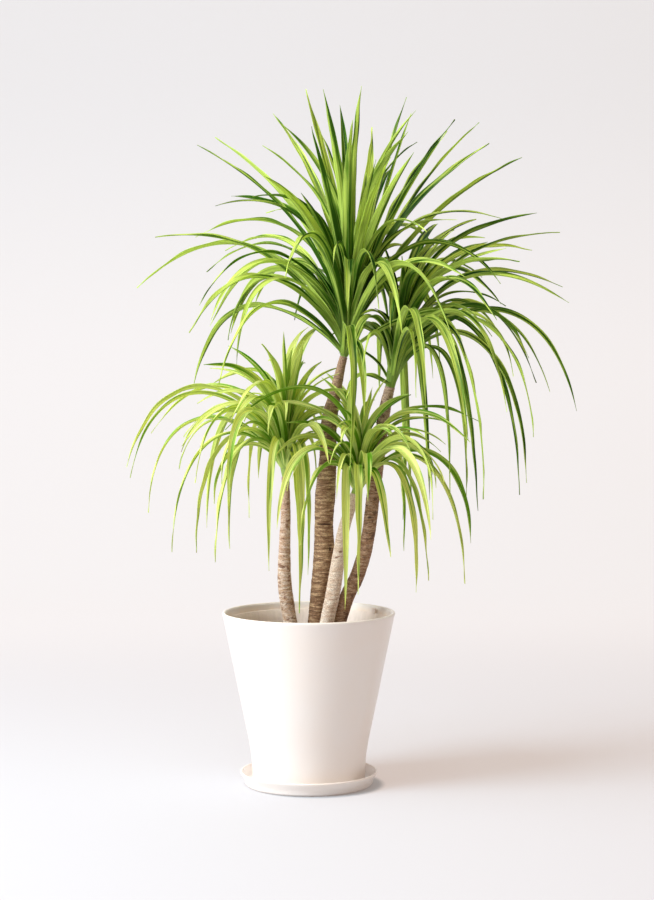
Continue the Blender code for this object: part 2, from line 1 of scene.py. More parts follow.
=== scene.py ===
"""The looks of a potted dracaena: planter, saucer, nursery pot, soil, ringed canes and leafy heads.

Metres, +Z up, in the frame of the packed model. Laid out as a Blender add-on and run as a script.
"""

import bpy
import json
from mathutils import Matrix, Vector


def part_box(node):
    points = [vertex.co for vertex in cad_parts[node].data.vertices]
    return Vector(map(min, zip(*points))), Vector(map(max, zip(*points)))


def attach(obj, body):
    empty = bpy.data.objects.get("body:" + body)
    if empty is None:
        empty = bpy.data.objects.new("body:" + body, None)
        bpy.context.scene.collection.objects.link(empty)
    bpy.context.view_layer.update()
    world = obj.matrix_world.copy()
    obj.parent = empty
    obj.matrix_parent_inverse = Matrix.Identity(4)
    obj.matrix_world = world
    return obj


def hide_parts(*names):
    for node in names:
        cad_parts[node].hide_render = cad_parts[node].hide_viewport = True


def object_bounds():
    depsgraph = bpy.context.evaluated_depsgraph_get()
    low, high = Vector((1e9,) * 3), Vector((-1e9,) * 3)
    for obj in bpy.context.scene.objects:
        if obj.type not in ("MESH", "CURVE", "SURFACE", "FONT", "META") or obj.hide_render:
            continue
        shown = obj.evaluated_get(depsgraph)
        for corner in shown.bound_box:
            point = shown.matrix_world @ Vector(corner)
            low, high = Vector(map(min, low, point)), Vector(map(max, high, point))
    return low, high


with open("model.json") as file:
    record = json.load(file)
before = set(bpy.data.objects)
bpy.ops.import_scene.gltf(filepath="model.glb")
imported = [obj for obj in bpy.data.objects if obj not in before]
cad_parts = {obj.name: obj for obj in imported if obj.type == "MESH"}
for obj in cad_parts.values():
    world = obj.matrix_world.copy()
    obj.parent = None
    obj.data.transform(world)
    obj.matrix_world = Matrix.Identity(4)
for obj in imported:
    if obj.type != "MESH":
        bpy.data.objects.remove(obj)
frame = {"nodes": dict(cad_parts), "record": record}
CAD_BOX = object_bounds()
BOX = {node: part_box(node) for node in frame["nodes"]}

import json
import math
import random

import bmesh
import bpy
import numpy as np
from mathutils import Matrix, Vector, noise
from mathutils.bvhtree import BVHTree
from mathutils.kdtree import KDTree

bl_info = {
    "name": "Potted dracaena",
    "version": (1, 0, 0),
    "blender": (4, 5, 0),
    "location": "View3D > Sidebar > Dracaena",
    "description": "Builds a potted dracaena with ringed canes and strap leaves around its packed frame",
    "category": "Object",
}

# Planter, saucer, nursery pot and soil. The main sizes are those of the solids
GAP = 0.0003
AXIS_R = 0.0020
SAUCER_FOOT_R = 0.0965
SAUCER_FLOOR = 0.0070
SAUCER_ROLL = 0.0016
SAUCER_BEND = 0.0060
SAUCER_HEEL = 0.0050
SAUCER_FOOT_RING = 0.0060
SAUCER_WELL = 0.0012
SAUCER_PAD_R = 0.0280
POT_TAPER = 0.205
POT_EASE_Z = 0.075
POT_LIP = 0.0050
POT_WALL = 0.0070
POT_FLOOR = 0.0120
POT_HEEL = 0.0030
POT_HOLLOW = 0.0015
DRAIN_R = 0.0100
LINER_WALL = 0.0015
LINER_BAND = 0.0120
LINER_BAND_STEP = 0.0014
LINER_FOOT_R = 0.0740
LINER_TOP = 0.2620
LINER_RIM_R = 0.1268
TAB_HEADING = 34.0
TAB_SIZE = (0.0020, 0.0090, 0.0120)
TAB_REACH = LINER_RIM_R - 0.0014
TAB_MIDDLE = LINER_TOP + 0.0015
TAB_EDGE = 0.0006
SOIL_CROWN = 0.0040
SOIL_FLAT_R = 0.0450
SOIL_FALL_R = 0.0700
SOIL_LUMP = 0.0026
SOIL_CRUMB = 0.0012
SOIL_SECTORS = 120
SOIL_RINGS = 56

# Shifts of the noise that dents the loose bits along x, y and z
DENT_SHIFTS = (Vector((0.0, 0.0, 0.0)), Vector((31.0, 0.0, 7.0)), Vector((0.0, 57.0, 19.0)))

# Glaze: how thin it is on a lip, how far the planter's inner wall takes the thin glaze's beige as
# painted shade, and how far under the top it starts to thin and is all thin
LIP_THIN = 0.2
INNER_PAINTED_SHADE = 0.55
SAUCER_THINS = (0.0030, 0.0005)
POT_THINS = (0.0022, 0.0002)

# Canes: listed (x, y, z, radius) points up the axis, as in the solids
PATH_STEP = 0.0050
RING_PITCH = 0.0240
GROOVE_SHARE = 0.3
CANES = {
    "cane_a": (
        (0.006, 0.008, 0.160, 0.0140),
        (0.011, 0.008, 0.240, 0.0140),
        (0.018, 0.009, 0.311, 0.0145),
        (0.024, 0.010, 0.355, 0.0168),
        (0.024, 0.010, 0.410, 0.0146),
        (0.026, 0.010, 0.455, 0.0160),
        (0.030, 0.009, 0.510, 0.0138),
        (0.032, 0.008, 0.570, 0.0125),
        (0.044, 0.008, 0.628, 0.0085),
        (0.055, 0.008, 0.674, 0.0060),
    ),
    "cane_b": (
        (0.030, 0.026, 0.160, 0.0115),
        (0.044, 0.026, 0.240, 0.0115),
        (0.060, 0.026, 0.292, 0.0117),
        (0.078, 0.027, 0.330, 0.0115),
        (0.093, 0.027, 0.385, 0.0108),
        (0.103, 0.027, 0.462, 0.0105),
        (0.111, 0.026, 0.522, 0.0100),
        (0.119, 0.024, 0.585, 0.0094),
        (0.128, 0.022, 0.626, 0.0080),
    ),
    "cane_c": (
        (-0.022, -0.004, 0.160, 0.0105),
        (-0.026, -0.005, 0.240, 0.0106),
        (-0.037, -0.006, 0.312, 0.0110),
        (-0.038, -0.007, 0.363, 0.0095),
        (-0.036, -0.007, 0.425, 0.0078),
        (-0.036, -0.007, 0.486, 0.0060),
    ),
    "cane_d": (
        (0.016, -0.028, 0.160, 0.0104),
        (0.024, -0.028, 0.240, 0.0105),
        (0.038, -0.028, 0.305, 0.0112),
        (0.045, -0.028, 0.350, 0.0105),
        (0.055, -0.027, 0.405, 0.0090),
        (0.073, -0.026, 0.460, 0.0076),
    ),
}

# Leafy heads, as in the solids, and how far along a solid blade its last row before the point lies
LAST_ROW = 0.85
STEM_GIRTHS = ((0.10, 0.75), (0.30, 1.0), (0.65, 0.9), (1.0, 0.4))
HEADS = {
    "crown_a": {"cane": "cane_a", "tip": (0.068, 0.012, 0.782), "girth": 0.0125,
                "width": 0.0212, "chord": 0.40, "crest": 0.74, "fill": 18, "start": 20.0,
                "arch": 54.0, "ease": 1.4, "least_rise": 34.0, "crowded": 0.0},
    "crown_b": {"cane": "cane_b", "tip": (0.146, 0.022, 0.722), "girth": 0.0115,
                "width": 0.0192, "chord": 0.34, "crest": 0.62, "fill": 12, "start": 75.0,
                "arch": 56.0, "ease": 0.75, "least_rise": 56.0, "crowded": 0.5},
    "crown_c": {"cane": "cane_c", "tip": (-0.034, -0.008, 0.560), "girth": 0.0100,
                "width": 0.0178, "chord": 0.27, "crest": 0.72, "fill": 20, "start": 110.0,
                "arch": 66.0, "ease": 0.6, "least_rise": 54.0, "crowded": -0.3},
    "crown_d": {"cane": "cane_d", "tip": (0.082, -0.028, 0.516), "girth": 0.0100,
                "width": 0.0188, "chord": 0.24, "crest": 0.62, "fill": 16, "start": 0.0,
                "arch": 64.0, "ease": 0.7, "least_rise": 54.0, "crowded": 0.0},
}

# Outline leaves as seen from the eye, as in the solids: (x, z in millimetres, share of the reach
# back), and for some an arch of their own in degrees
EYE = Vector((0.029, -3.327, 0.704))
LEADERS = {
    "crown_a": (
        (-4, 1089, 0.2), (23, 1089, -0.5), (49, 1065, 0.6), (82, 1094, 0.0), (69, 1042, -0.9),
        (99, 1031, 0.9), (152, 1077, 0.3), (164, 992, -0.5), (127, 984, -0.9), (90, 961, 0.3),
        (5, 1032, -0.7), (-55, 1052, 0.9), (-173, 1003, -0.3), (-145, 1015, 0.8),
        (-69, 955, -0.8), (-12, 929, -0.3), (-239, 860, -0.4), (-268, 781, 0.5),
        (-130, 839, 0.9), (-187, 711, -0.6), (-154, 722, 0.9), (-181, 626, 0.5),
        (-142, 630, -0.7), (-37, 797, -0.9), (215, 1025, -0.5), (228, 1042, 0.3),
        (265, 1038, 0.9), (281, 1006, -0.2), (332, 984, 0.1), (229, 692, -0.8),
        (353, 548, -0.7), (65, 496, -0.8), (159, 1052, -0.4), (87, 581, -0.5), (105, 980, -0.6),
    ),
    "crown_b": (
        (202, 881, 0.9), (227, 873, 0.5), (275, 859, 0.9), (308, 843, -0.3), (356, 898, 0.5),
        (392, 868, 0.1), (349, 840, 0.8), (330, 823, -0.6), (271, 798, 0.9), (397, 783, 0.4),
        (407, 758, -0.3), (301, 756, 0.9), (294, 731, -0.9), (357, 633, 0.8),
        (378, 619, 0.5), (420, 589, 0.0), (311, 587, -0.9), (250, 543, -0.8), (222, 450, -0.4),
        (342, 476, -0.3), (266, 432, 0.9), (184, 593, -0.9), (148, 418, 0.9),
        (162, 445, 0.7), (190, 449, 0.8), (59, 609, -0.6, 35.0), (331, 457, 0.6, 112.0),
        (275, 450, -0.5, 122.0), (248, 446, 0.2, 116.0),
    ),
    "crown_c": (
        (-286, 501, 0.2), (-280, 484, -0.5), (-252, 429, 0.5), (-215, 367, -0.3),
        (-177, 366, 0.5), (-147, 351, -0.7), (-124, 372, 0.8), (-178, 476, -0.8),
        (-160, 405, 0.9), (-153, 630, 0.4, 62.0), (-24, 689, -0.3), (-1, 720, 0.5), (16, 722, 0.9),
        (-15, 270, -0.8), (-247, 554, 0.3), (-199, 534, -0.4), (-122, 573, -0.8, 55.0),
        (-149, 443, 0.0), (-62, 337, -0.8), (-125, 433, -0.7), (-94, 421, 0.9), (-14, 367, -0.6),
        (-1, 331, 0.6), (-34, 673, 0.4), (-8, 700, -0.1),
    ),
    "crown_d": (
        (169, 303, -0.5), (189, 322, 0.8), (246, 317, -0.2), (255, 381, 0.4), (192, 386, -0.9),
        (150, 369, 0.9), (129, 359, -0.7), (78, 300, -0.9), (57, 276, -0.6), (-14, 378, -0.8),
        (-131, 559, -0.3, 62.0), (-64, 603, 0.4, 38.0), (160, 615, 0.5), (269, 572, 0.3),
        (253, 540, -0.3), (159, 528, -0.6, 55.0), (26, 650, 0.5), (-50, 402, -0.6),
        (195, 418, -0.7), (70, 640, -0.2),
    ),
}

# How a leaf grows, as in the solids
GOLDEN = 137.508
STEM_MIDDLE = 0.6
ARCH_LEAST = 4.0
ARCH_SLOPE = 85.0
ARCH_SPAN = 90.0
STEEPEST = 89.0
HANGING = -88.0
RISE_LOW = 54.0
RISE_GAIN = 32.0
FALL_GAIN = 130.0
FALL_POWER = 1.4
FALL_LIFT = 3.0
OLDEST_REACH = 1.08
SEAT_LOW = 0.10
SEAT_GAIN = 0.85
SEAT_RISES = (36.0, 88.0)
SEAT_ENDS = (0.06, 0.97)
SEAT_DEPTH = 0.62
FILLER_LEGS = (0.42, 0.27, 0.34)
LEADER_LEGS = (0.38, 0.34)
ARCHED_LEGS = (0.26, 0.45)
ARCHED_SPAN = 150.0
STEPS = 8
STEP_TURN = 4.0
STEP_SLIDE = 0.012
LIFTS = (0.0, 6.0, -6.0, 12.0, -12.0)
WIDEST = 0.40
POINT_POWER = 2.1
FOLD_BLADE = 14.0
DRAWS = {
    "lift": (-4.0, 4.0), "height": (-0.05, 0.05), "sway": (-0.016, 0.016),
    "twist": (-60.0, 60.0), "length": (-0.10, 0.06), "width": (0.82, 1.04),
}

# How near a leaf's tip and edge have to lie to a corner of the solid to be the one that stands there
MATCH = 0.0002

# A blade's points between keel and edge, how even its rows are, how round its keel is, how far its
# base stands out from the stem and clasps it, and how much wider it is there
BLADE_SHARES = np.array([0.0, 0.09, 0.22, 0.42, 0.70, 1.0])
EVEN_ROWS = 0.62
KEEL_ROUND = 0.0011
SEAT_PROUD = 1.02
MOST_CLASP = 1.25
CLASP_WIDER = 0.22
RIB_WIDTH = 0.0016
LEAST_HALF = 0.00025

# Where a blade's root fold ends, how far folds vary, and the waves of its edges
ROOT_FOLD_END = 0.35
FOLD_VARIES = 0.35
WAVE_HEIGHTS = (0.0003, 0.0011)
WAVE_LENGTHS = (0.055, 0.10)
LOPSIDED = 0.0008
LOPSIDED_LENGTH = 0.07

# How light a head's leaves are, 0 for its deep colour to 1.2 for its bright one, how far they vary, how
# much darker those to the right are painted, as painted shade away from the key light, and how much
# darker the upright ones are, from one rise in radians to another
LIGHTNESS = {"crown_a": 0.50, "crown_b": 0.62, "crown_c": 1.06, "crown_d": 0.70}
LIGHTNESS_SPREAD = 0.95
RIGHT_PAINTED_SHADE = 0.10
UPRIGHT_DARKER = 0.45
UPRIGHT_RISES = (0.9, 1.4)

# Fine young leaves: their width as a share of the others', the places tried, how much shorter and
# how much further round each try is, and the room kept to the head's outer reach and to other leaves
FINE_WIDTH = 0.55
FINE_TRIES = 24
FINE_SHRINK = 0.012
FINE_TURN = 1.7
FINE_MARGIN = 0.006
FINE_CLEAR = 0.008

# Stem tips: points round them, their girth as a share of the solid's, and their lightness
STEM_SIDES = 24
STEM_SLIM = 0.94
STEM_LIGHTNESS = 0.6

# Bark: mean rise from one leaf scar to the next, how far a scar slants, half the width of its
# groove, the share of its depth that the lip above it stands proud, and its depth as a share of the
# setting. Then the scars kept ready past each end, those that reach a point, and the bark's lumps
BARK = {
    "cane_a": {"rise": 0.00190, "slant": 0.0009, "groove": 0.00050, "lip": 0.45, "depth": 1.0},
    "cane_b": {"rise": 0.00185, "slant": 0.0014, "groove": 0.00045, "lip": 0.40, "depth": 0.9},
    "cane_c": {"rise": 0.00260, "slant": 0.0016, "groove": 0.00038, "lip": 0.30, "depth": 0.55},
    "cane_d": {"rise": 0.00270, "slant": 0.0016, "groove": 0.00038, "lip": 0.30, "depth": 0.6},
}
SCARS_SPARE = 6
SCARS_NEAR = 3
CANE_LUMP = 0.0005

# Length of young bark at the top of a cane
YOUNG_LENGTH = 0.15

# Colours of bark, and how much of it is patched with cork
BARK_SOCKETS = ("Skin", "Groove", "Patch", "Worn", "Young", "Patches")
BARK_COLORS = {
    "cane_a": ((0.290, 0.158, 0.080), (0.040, 0.017, 0.008), (0.150, 0.070, 0.038),
               (0.700, 0.480, 0.270), (0.480, 0.300, 0.215), 0.50),
    "cane_b": ((0.340, 0.180, 0.095), (0.055, 0.026, 0.014), (0.130, 0.062, 0.036),
               (0.600, 0.400, 0.260), (0.680, 0.480, 0.370), 0.66),
    "cane_c": ((0.560, 0.370, 0.240), (0.150, 0.075, 0.043), (0.230, 0.115, 0.066),
               (0.880, 0.760, 0.620), (0.560, 0.350, 0.250), 0.75),
    "cane_d": ((0.730, 0.560, 0.420), (0.220, 0.115, 0.070), (0.340, 0.190, 0.115),
               (0.920, 0.830, 0.700), (0.720, 0.560, 0.420), 0.50),
}

# A crack and the scars of buds, as (height, heading, half height, half width in degrees, depth)
MARKS = {
    "cane_a": ((0.411, -92.0, 0.0011, 62.0, 0.0030), (0.372, -55.0, 0.0030, 9.0, 0.0010)),
    "cane_b": ((0.420, -100.0, 0.0017, 20.0, 0.0012),),
    "cane_c": ((0.345, -95.0, 0.0014, 16.0, 0.0008),),
    "cane_d": ((0.371, -80.0, 0.0016, 17.0, 0.0010), (0.362, -110.0, 0.0014, 15.0, 0.0009),
               (0.402, -70.0, 0.0013, 15.0, 0.0008)),
}

# Record slots of canes and heads
SLOTS = {
    "cane_a": "bark", "cane_b": "bark", "cane_c": "pale_bark", "cane_d": "pale_bark",
    "crown_a": "leaf_green", "crown_b": "leaf_green", "crown_c": "leaf_lime", "crown_d": "leaf_lime",
}

# How much of a leaf's light comes through it
LEAF_THINNESS = 0.44

# Colours that no setting has
# Beige of thin glaze on lips, also painted inside the planter as painted shade
THIN_GLAZE_AND_SHADE = (1.0, 0.74, 0.53)
PALE_STREAK = (0.99, 0.85, 0.76)
SPLASHED_SOIL = (0.16, 0.11, 0.075)
WET_PEAT = (0.012, 0.008, 0.006)
RICH_GREEN = (0.68, 1.0, 0.40)
DRY_LEAF = (0.30, 0.17, 0.060)
THROUGH_LEAF = (1.0, 1.0, 0.42)
PAPER_NEAR = (1.0, 0.78, 0.67)
PAPER_FAR = (1.0, 0.865, 0.79)
SKY = (1.0, 0.81, 0.71)
BEYOND = (0.80, 0.74, 0.70)

# Heights over which splashes of soil fade on the nursery pot
SPLASH_HEIGHTS = (0.222, 0.240)

# Usual and widest parts of a noise's range, and the outputs of each effect
NOISE_SPAN = (0.35, 0.65)
WIDE_SPAN = (0.3, 0.7)
OUTPUTS = {
    "Color": "NodeSocketColor", "Roughness": "NodeSocketFloat", "Height": "NodeSocketFloat"}

# Sockets of a colour mix, and how the nodes are laid out
MIX_COLORS = (6, 7)
MIX_RESULT = 2
NODE_COLUMNS = 12
NODE_STEP = (180, -220)

# Sweep of floor and backdrop: half width and front, where the bend starts, its radius, top, steps
SWEEP_HALF = 12.0
SWEEP_BEND_Y = 2.2
SWEEP_BEND = 1.2
SWEEP_TOP = 5.0
SWEEP_STEPS = 12

# Painted contact shadow where the saucer shades the floor: middle, then from all shade to none, and the
# light left
SHADE_MIDDLE = (0.012, -0.004, 0.0)
SHADE_REACH = (0.098, 0.112)
SHADE_LEFT = 0.40

# Area lights, and the camera as fitted to the photograph
LIGHTS = {
    "key": {"place": (-2.68, -1.36, 2.0), "aim": 0.55, "size": 1.5, "color": (0.92, 1.0, 1.05)},
    "overhead": {"place": (-0.9, -0.7, 3.0), "aim": 0.7, "size": 1.8, "color": (0.96, 1.0, 1.02)},
}
CAMERA_PLACE = (0.0288, -3.327, 0.704)
SENSOR = 36.0


def record_color(slot):
    """The record's base colour of a material slot."""
    return next(m["base_color"][:3] for m in frame["record"]["materials"] if m["slot"] == slot)


class PlanterSettings(bpy.types.PropertyGroup):
    """The glazed planter and saucer, and the nursery pot inside."""
    glaze: bpy.props.FloatVectorProperty(
        name="Glaze", description="Colour of the glaze", subtype="COLOR", size=3, min=0.0, max=1.0,
        default=record_color("glaze"))
    clay: bpy.props.FloatVectorProperty(
        name="Clay", description="Colour of the bare clay under the foot", subtype="COLOR", size=3,
        min=0.0, max=1.0, default=(0.66, 0.54, 0.43))
    plastic: bpy.props.FloatVectorProperty(
        name="Plastic", description="Colour of the nursery pot", subtype="COLOR", size=3, min=0.0,
        max=1.0, default=record_color("liner_plastic"))
    sides: bpy.props.IntProperty(
        name="Sides", description="Sides of a turned piece", default=144, min=36)


class SoilSettings(bpy.types.PropertyGroup):
    """The potting mix."""
    mix: bpy.props.FloatVectorProperty(
        name="Mix", description="Colour of the fine mix", subtype="COLOR", size=3, min=0.0, max=1.0,
        default=record_color("potting_mix"))
    chip: bpy.props.FloatProperty(
        name="Chip size", description="Usual size of a piece of bark", subtype="DISTANCE",
        default=0.0055)
    chips: bpy.props.IntProperty(
        name="Chips", description="Pieces of bark on the surface", default=900, min=0)
    stones: bpy.props.IntProperty(
        name="Stones", description="Pumice stones on the surface", default=160, min=0)


class CaneSettings(bpy.types.PropertyGroup):
    """The bare woody canes."""
    sides: bpy.props.IntProperty(name="Sides", description="Sides of a cane", default=56, min=12)
    row: bpy.props.FloatProperty(
        name="Row", description="Distance between rows of points", subtype="DISTANCE", precision=5,
        default=0.0008)
    groove: bpy.props.FloatProperty(
        name="Groove", description="Depth of a leaf-scar groove", subtype="DISTANCE", precision=5,
        default=0.0006)


class LeafSettings(bpy.types.PropertyGroup):
    """The strap leaves and the green stem tips that carry them."""
    rows: bpy.props.IntProperty(name="Rows", description="Rows along a blade", default=44, min=12)
    fold: bpy.props.FloatProperty(
        name="Fold", description="How far each half of a blade is folded up", subtype="ANGLE",
        default=math.radians(34.0))
    root_fold: bpy.props.FloatProperty(
        name="Root fold", description="The same at its root", subtype="ANGLE",
        default=math.radians(50.0))
    root_width: bpy.props.FloatProperty(
        name="Root width", description="Width at the root as a share of the widest", subtype="FACTOR",
        default=0.62, min=0.2, max=1.0)
    thickness: bpy.props.FloatProperty(
        name="Thickness", description="Thickness of a blade at its edge", subtype="DISTANCE",
        precision=5, default=0.00035)
    midrib: bpy.props.FloatProperty(
        name="Midrib", description="What the midrib adds to it", subtype="DISTANCE", precision=5,
        default=0.0008)
    sheath: bpy.props.FloatProperty(
        name="Sheath", description="How far a leaf's base clasps the stem", subtype="DISTANCE",
        default=0.016)
    green: bpy.props.FloatVectorProperty(
        name="Deep green", description="Leaves of the two tall heads", subtype="COLOR", size=3,
        min=0.0, max=1.0, default=(0.010, 0.072, 0.001))
    bright: bpy.props.FloatVectorProperty(
        name="Bright green", description="Their lighter parts", subtype="COLOR", size=3,
        min=0.0, max=1.0, default=(0.86, 1.00, 0.230))
    lime: bpy.props.FloatVectorProperty(
        name="Lime green", description="Leaves of the two low heads", subtype="COLOR", size=3,
        min=0.0, max=1.0, default=(0.12, 0.30, 0.003))
    yellow: bpy.props.FloatVectorProperty(
        name="Yellow green", description="Their lighter parts", subtype="COLOR", size=3,
        min=0.0, max=1.0, default=(0.98, 1.00, 0.370))
    fine: bpy.props.IntProperty(
        name="Fine leaves", description="Fine young leaves tried in each head", default=22, min=0)


class StageSettings(bpy.types.PropertyGroup):
    """Camera, floor and lights."""
    lens: bpy.props.FloatProperty(
        name="Lens", description="Focal length in millimetres", subtype="DISTANCE_CAMERA",
        default=85.0)
    pitch: bpy.props.FloatProperty(
        name="Pitch", description="How far the camera looks down", subtype="ANGLE",
        default=math.radians(3.034))
    key: bpy.props.FloatProperty(
        name="Key light", description="Power of the key light", subtype="POWER", default=130.0)
    overhead: bpy.props.FloatProperty(
        name="Overhead light", description="Power of the soft light over the plant", subtype="POWER",
        default=60.0)
    sky: bpy.props.FloatProperty(
        name="Sky", description="Strength of the even light from all round", default=0.45)
    backdrop: bpy.props.FloatVectorProperty(
        name="Backdrop", description="Colour of the backdrop", subtype="COLOR", size=3, min=0.0,
        max=1.0, default=(0.28, 0.34, 0.39))
    wash: bpy.props.FloatProperty(
        name="Wash", description="How brightly the backdrop is lit by lamps of its own", default=0.50)


class Graph:
    """A node tree with short calls for the nodes that the materials here are made of."""

    def __init__(self, tree):
        self.tree = tree
        self.count = 0

    def add(self, kind, **settings):
        """A node, with its plain settings."""
        made = self.tree.nodes.new(kind)
        self.count += 1
        row, column = divmod(self.count, NODE_COLUMNS)
        made.location = (NODE_STEP[0] * column, NODE_STEP[1] * row)
        for name, value in settings.items():
            setattr(made, name, value)
        return made

    def put(self, socket, value):
        """Links a socket or sets a plain value."""
        if isinstance(value, bpy.types.NodeSocket):
            self.tree.links.new(value, socket)
        elif socket.type == "RGBA":
            socket.default_value = (*value[:3], 1.0)
        else:
            socket.default_value = value

    def fill(self, node, values):
        """Links or sets sockets of a node by name or number, and gives its first output."""
        for socket, value in values.items() if isinstance(values, dict) else enumerate(values):
            self.put(node.inputs[socket], value)
        return node.outputs[0]

    def math(self, operation, a, b=0.0, clamp=False):
        """One operation on two values."""
        return self.fill(self.add("ShaderNodeMath", operation=operation, use_clamp=clamp), (a, b))

    def times(self, a, b):
        """The product of two values."""
        return self.math("MULTIPLY", a, b)

    def plus(self, a, b, clamp=False):
        """The sum of two values."""
        return self.math("ADD", a, b, clamp)

    def mix(self, share, a, b, kind="MIX"):
        """One colour over another."""
        made = self.add("ShaderNodeMix", data_type="RGBA", blend_type=kind)
        self.fill(made, {"Factor": share, MIX_COLORS[0]: a, MIX_COLORS[1]: b})
        return made.outputs[MIX_RESULT]

    def blend(self, share, a, b):
        """One shader over another."""
        return self.fill(self.add("ShaderNodeMixShader"), (share, a, b))

    def remap(self, value, low, high, to_low=0.0, to_high=1.0):
        """A smooth step from one range to another."""
        made = self.add("ShaderNodeMapRange", interpolation_type="SMOOTHSTEP")
        return self.fill(made, (value, low, high, to_low, to_high))

    def noise(self, vector, scale, detail=3.0, rough=0.55, stretch=None):
        """A noise value over the surface."""
        if stretch:
            stretched = self.add("ShaderNodeVectorMath", operation="MULTIPLY")
            vector = self.fill(stretched, (vector, stretch))
        return self.fill(self.add("ShaderNodeTexNoise"), {
            "Vector": vector, "Scale": scale, "Detail": detail, "Roughness": rough})

    def cells(self, vector, scale):
        """Distance from the middle of random cells, and each cell's own value."""
        made = self.add("ShaderNodeTexVoronoi")
        self.fill(made, {"Vector": vector, "Scale": scale})
        return made.outputs["Distance"], made.outputs["Color"]

    def distance(self, vector, middle):
        """How far a place is from a point."""
        made = self.add("ShaderNodeVectorMath", operation="DISTANCE")
        self.fill(made, (vector, middle))
        return made.outputs["Value"]

    def parts(self, vector):
        """The three numbers of a vector."""
        made = self.add("ShaderNodeSeparateXYZ")
        self.fill(made, (vector,))
        return tuple(made.outputs)

    def place(self):
        """Where a point is, in metres."""
        return self.add("ShaderNodeTexCoord").outputs["Object"]

    def given(self, name, kind="Fac"):
        """A named value of the mesh, or its vector."""
        return self.add("ShaderNodeAttribute", attribute_name=name).outputs[kind]


def effect_group(name, look, colors, values=()):
    """A shader node group, built once. A look turns its inputs into colour, roughness and height."""
    made = bpy.data.node_groups.get(name)
    if made:
        return made
    made = bpy.data.node_groups.new(name, "ShaderNodeTree")
    for kind, sockets in (("NodeSocketColor", colors), ("NodeSocketFloat", values)):
        for socket in sockets:
            made.interface.new_socket(socket, in_out="INPUT", socket_type=kind)
    for socket, kind in OUTPUTS.items():
        made.interface.new_socket(socket, in_out="OUTPUT", socket_type=kind)
    graph = Graph(made)
    entry, out = graph.add("NodeGroupInput"), graph.add("NodeGroupOutput")
    for socket, value in zip(OUTPUTS, look(graph, entry.outputs)):
        graph.put(out.inputs[socket], value)
    return made


def material_with(name, group, values, shader_values, bump, bump_reach):
    """A Principled material whose colour, roughness and bump come from a group."""
    made = bpy.data.materials.new(name)
    made.use_nodes = True
    graph = Graph(made.node_tree)
    effect = graph.add("ShaderNodeGroup", node_tree=group)
    graph.fill(effect, values)
    relief = graph.fill(graph.add("ShaderNodeBump"), {
        "Strength": bump, "Distance": bump_reach, "Height": effect.outputs["Height"]})
    graph.fill(made.node_tree.nodes["Principled BSDF"], {
        "Base Color": effect.outputs["Color"], "Roughness": effect.outputs["Roughness"],
        "Normal": relief, **shader_values})
    return made


def glaze_look(graph, given):
    """Satin glaze: faint waves and specks, thinner and browner on lips, beige painted shade inside the
    planter, bare clay where it is wiped.
    """
    place, bare = graph.place(), graph.given("bare")
    cloud = graph.noise(place, 9.0)
    wave = graph.noise(place, 55.0, 2.0)
    grit = graph.noise(place, 900.0, 2.0)
    specks, _ = graph.cells(place, 420.0)
    # The lip value holds thin glaze on lips and painted shade on the planter's inner wall
    thin = graph.times(graph.given("lip"), graph.remap(wave, *NOISE_SPAN, 0.35, 1.0))
    tone = graph.mix(graph.remap(cloud, *NOISE_SPAN, 0.15, 0.21), given["Glaze"], given["Thin"])
    tone = graph.mix(graph.remap(specks, 0.10, 0.16, 0.06, 0.0), tone, given["Clay"])
    tone = graph.mix(thin, tone, given["Thin"])
    tone = graph.mix(bare, tone, given["Clay"])
    rough = graph.plus(graph.remap(cloud, *WIDE_SPAN, 0.30, 0.37), graph.times(bare, 0.5))
    gritty = graph.times(grit, graph.plus(graph.times(bare, 0.6), 0.015))
    return tone, rough, graph.plus(wave, gritty)


def plastic_look(graph, given):
    """Thin moulded plastic: pale vertical streaks, splashes of soil low down, scuffs."""
    place = graph.place()
    streak = graph.noise(place, 170.0, 4.0, stretch=(1.0, 1.0, 0.07))
    scuff = graph.noise(place, 320.0, 4.0, 0.7)
    splashed = graph.remap(graph.parts(place)[2], *SPLASH_HEIGHTS, 1.0, 0.0)
    tone = graph.mix(graph.remap(streak, 0.38, 0.66, 0.60, 0.80), given["Plastic"], given["Lime"])
    tone = graph.mix(graph.times(splashed, graph.remap(scuff, 0.4, 0.6)), tone, given["Dirt"])
    return tone, graph.remap(scuff, *WIDE_SPAN, 0.42, 0.62), scuff


def crumb_look(graph, given):
    """Crumbs of bark and peat: each crumb its own brown, pale where it is dry."""
    place = graph.place()
    cell, tint = graph.cells(place, given["Grain"])
    fine = graph.noise(place, 1400.0, 3.0, 0.7)
    dry = graph.remap(graph.noise(place, 45.0), *NOISE_SPAN, 0.2, 0.9)
    own = graph.add("ShaderNodeSeparateColor")
    tone = graph.mix(graph.times(graph.fill(own, (tint,)), dry), given["Mix"], given["Dry"])
    tone = graph.mix(graph.remap(fine, 0.35, 0.6, 0.45, 0.0), tone, WET_PEAT)
    height = graph.plus(fine, graph.times(cell, -0.8))
    return tone, graph.remap(fine, *WIDE_SPAN, 0.75, 0.98), height


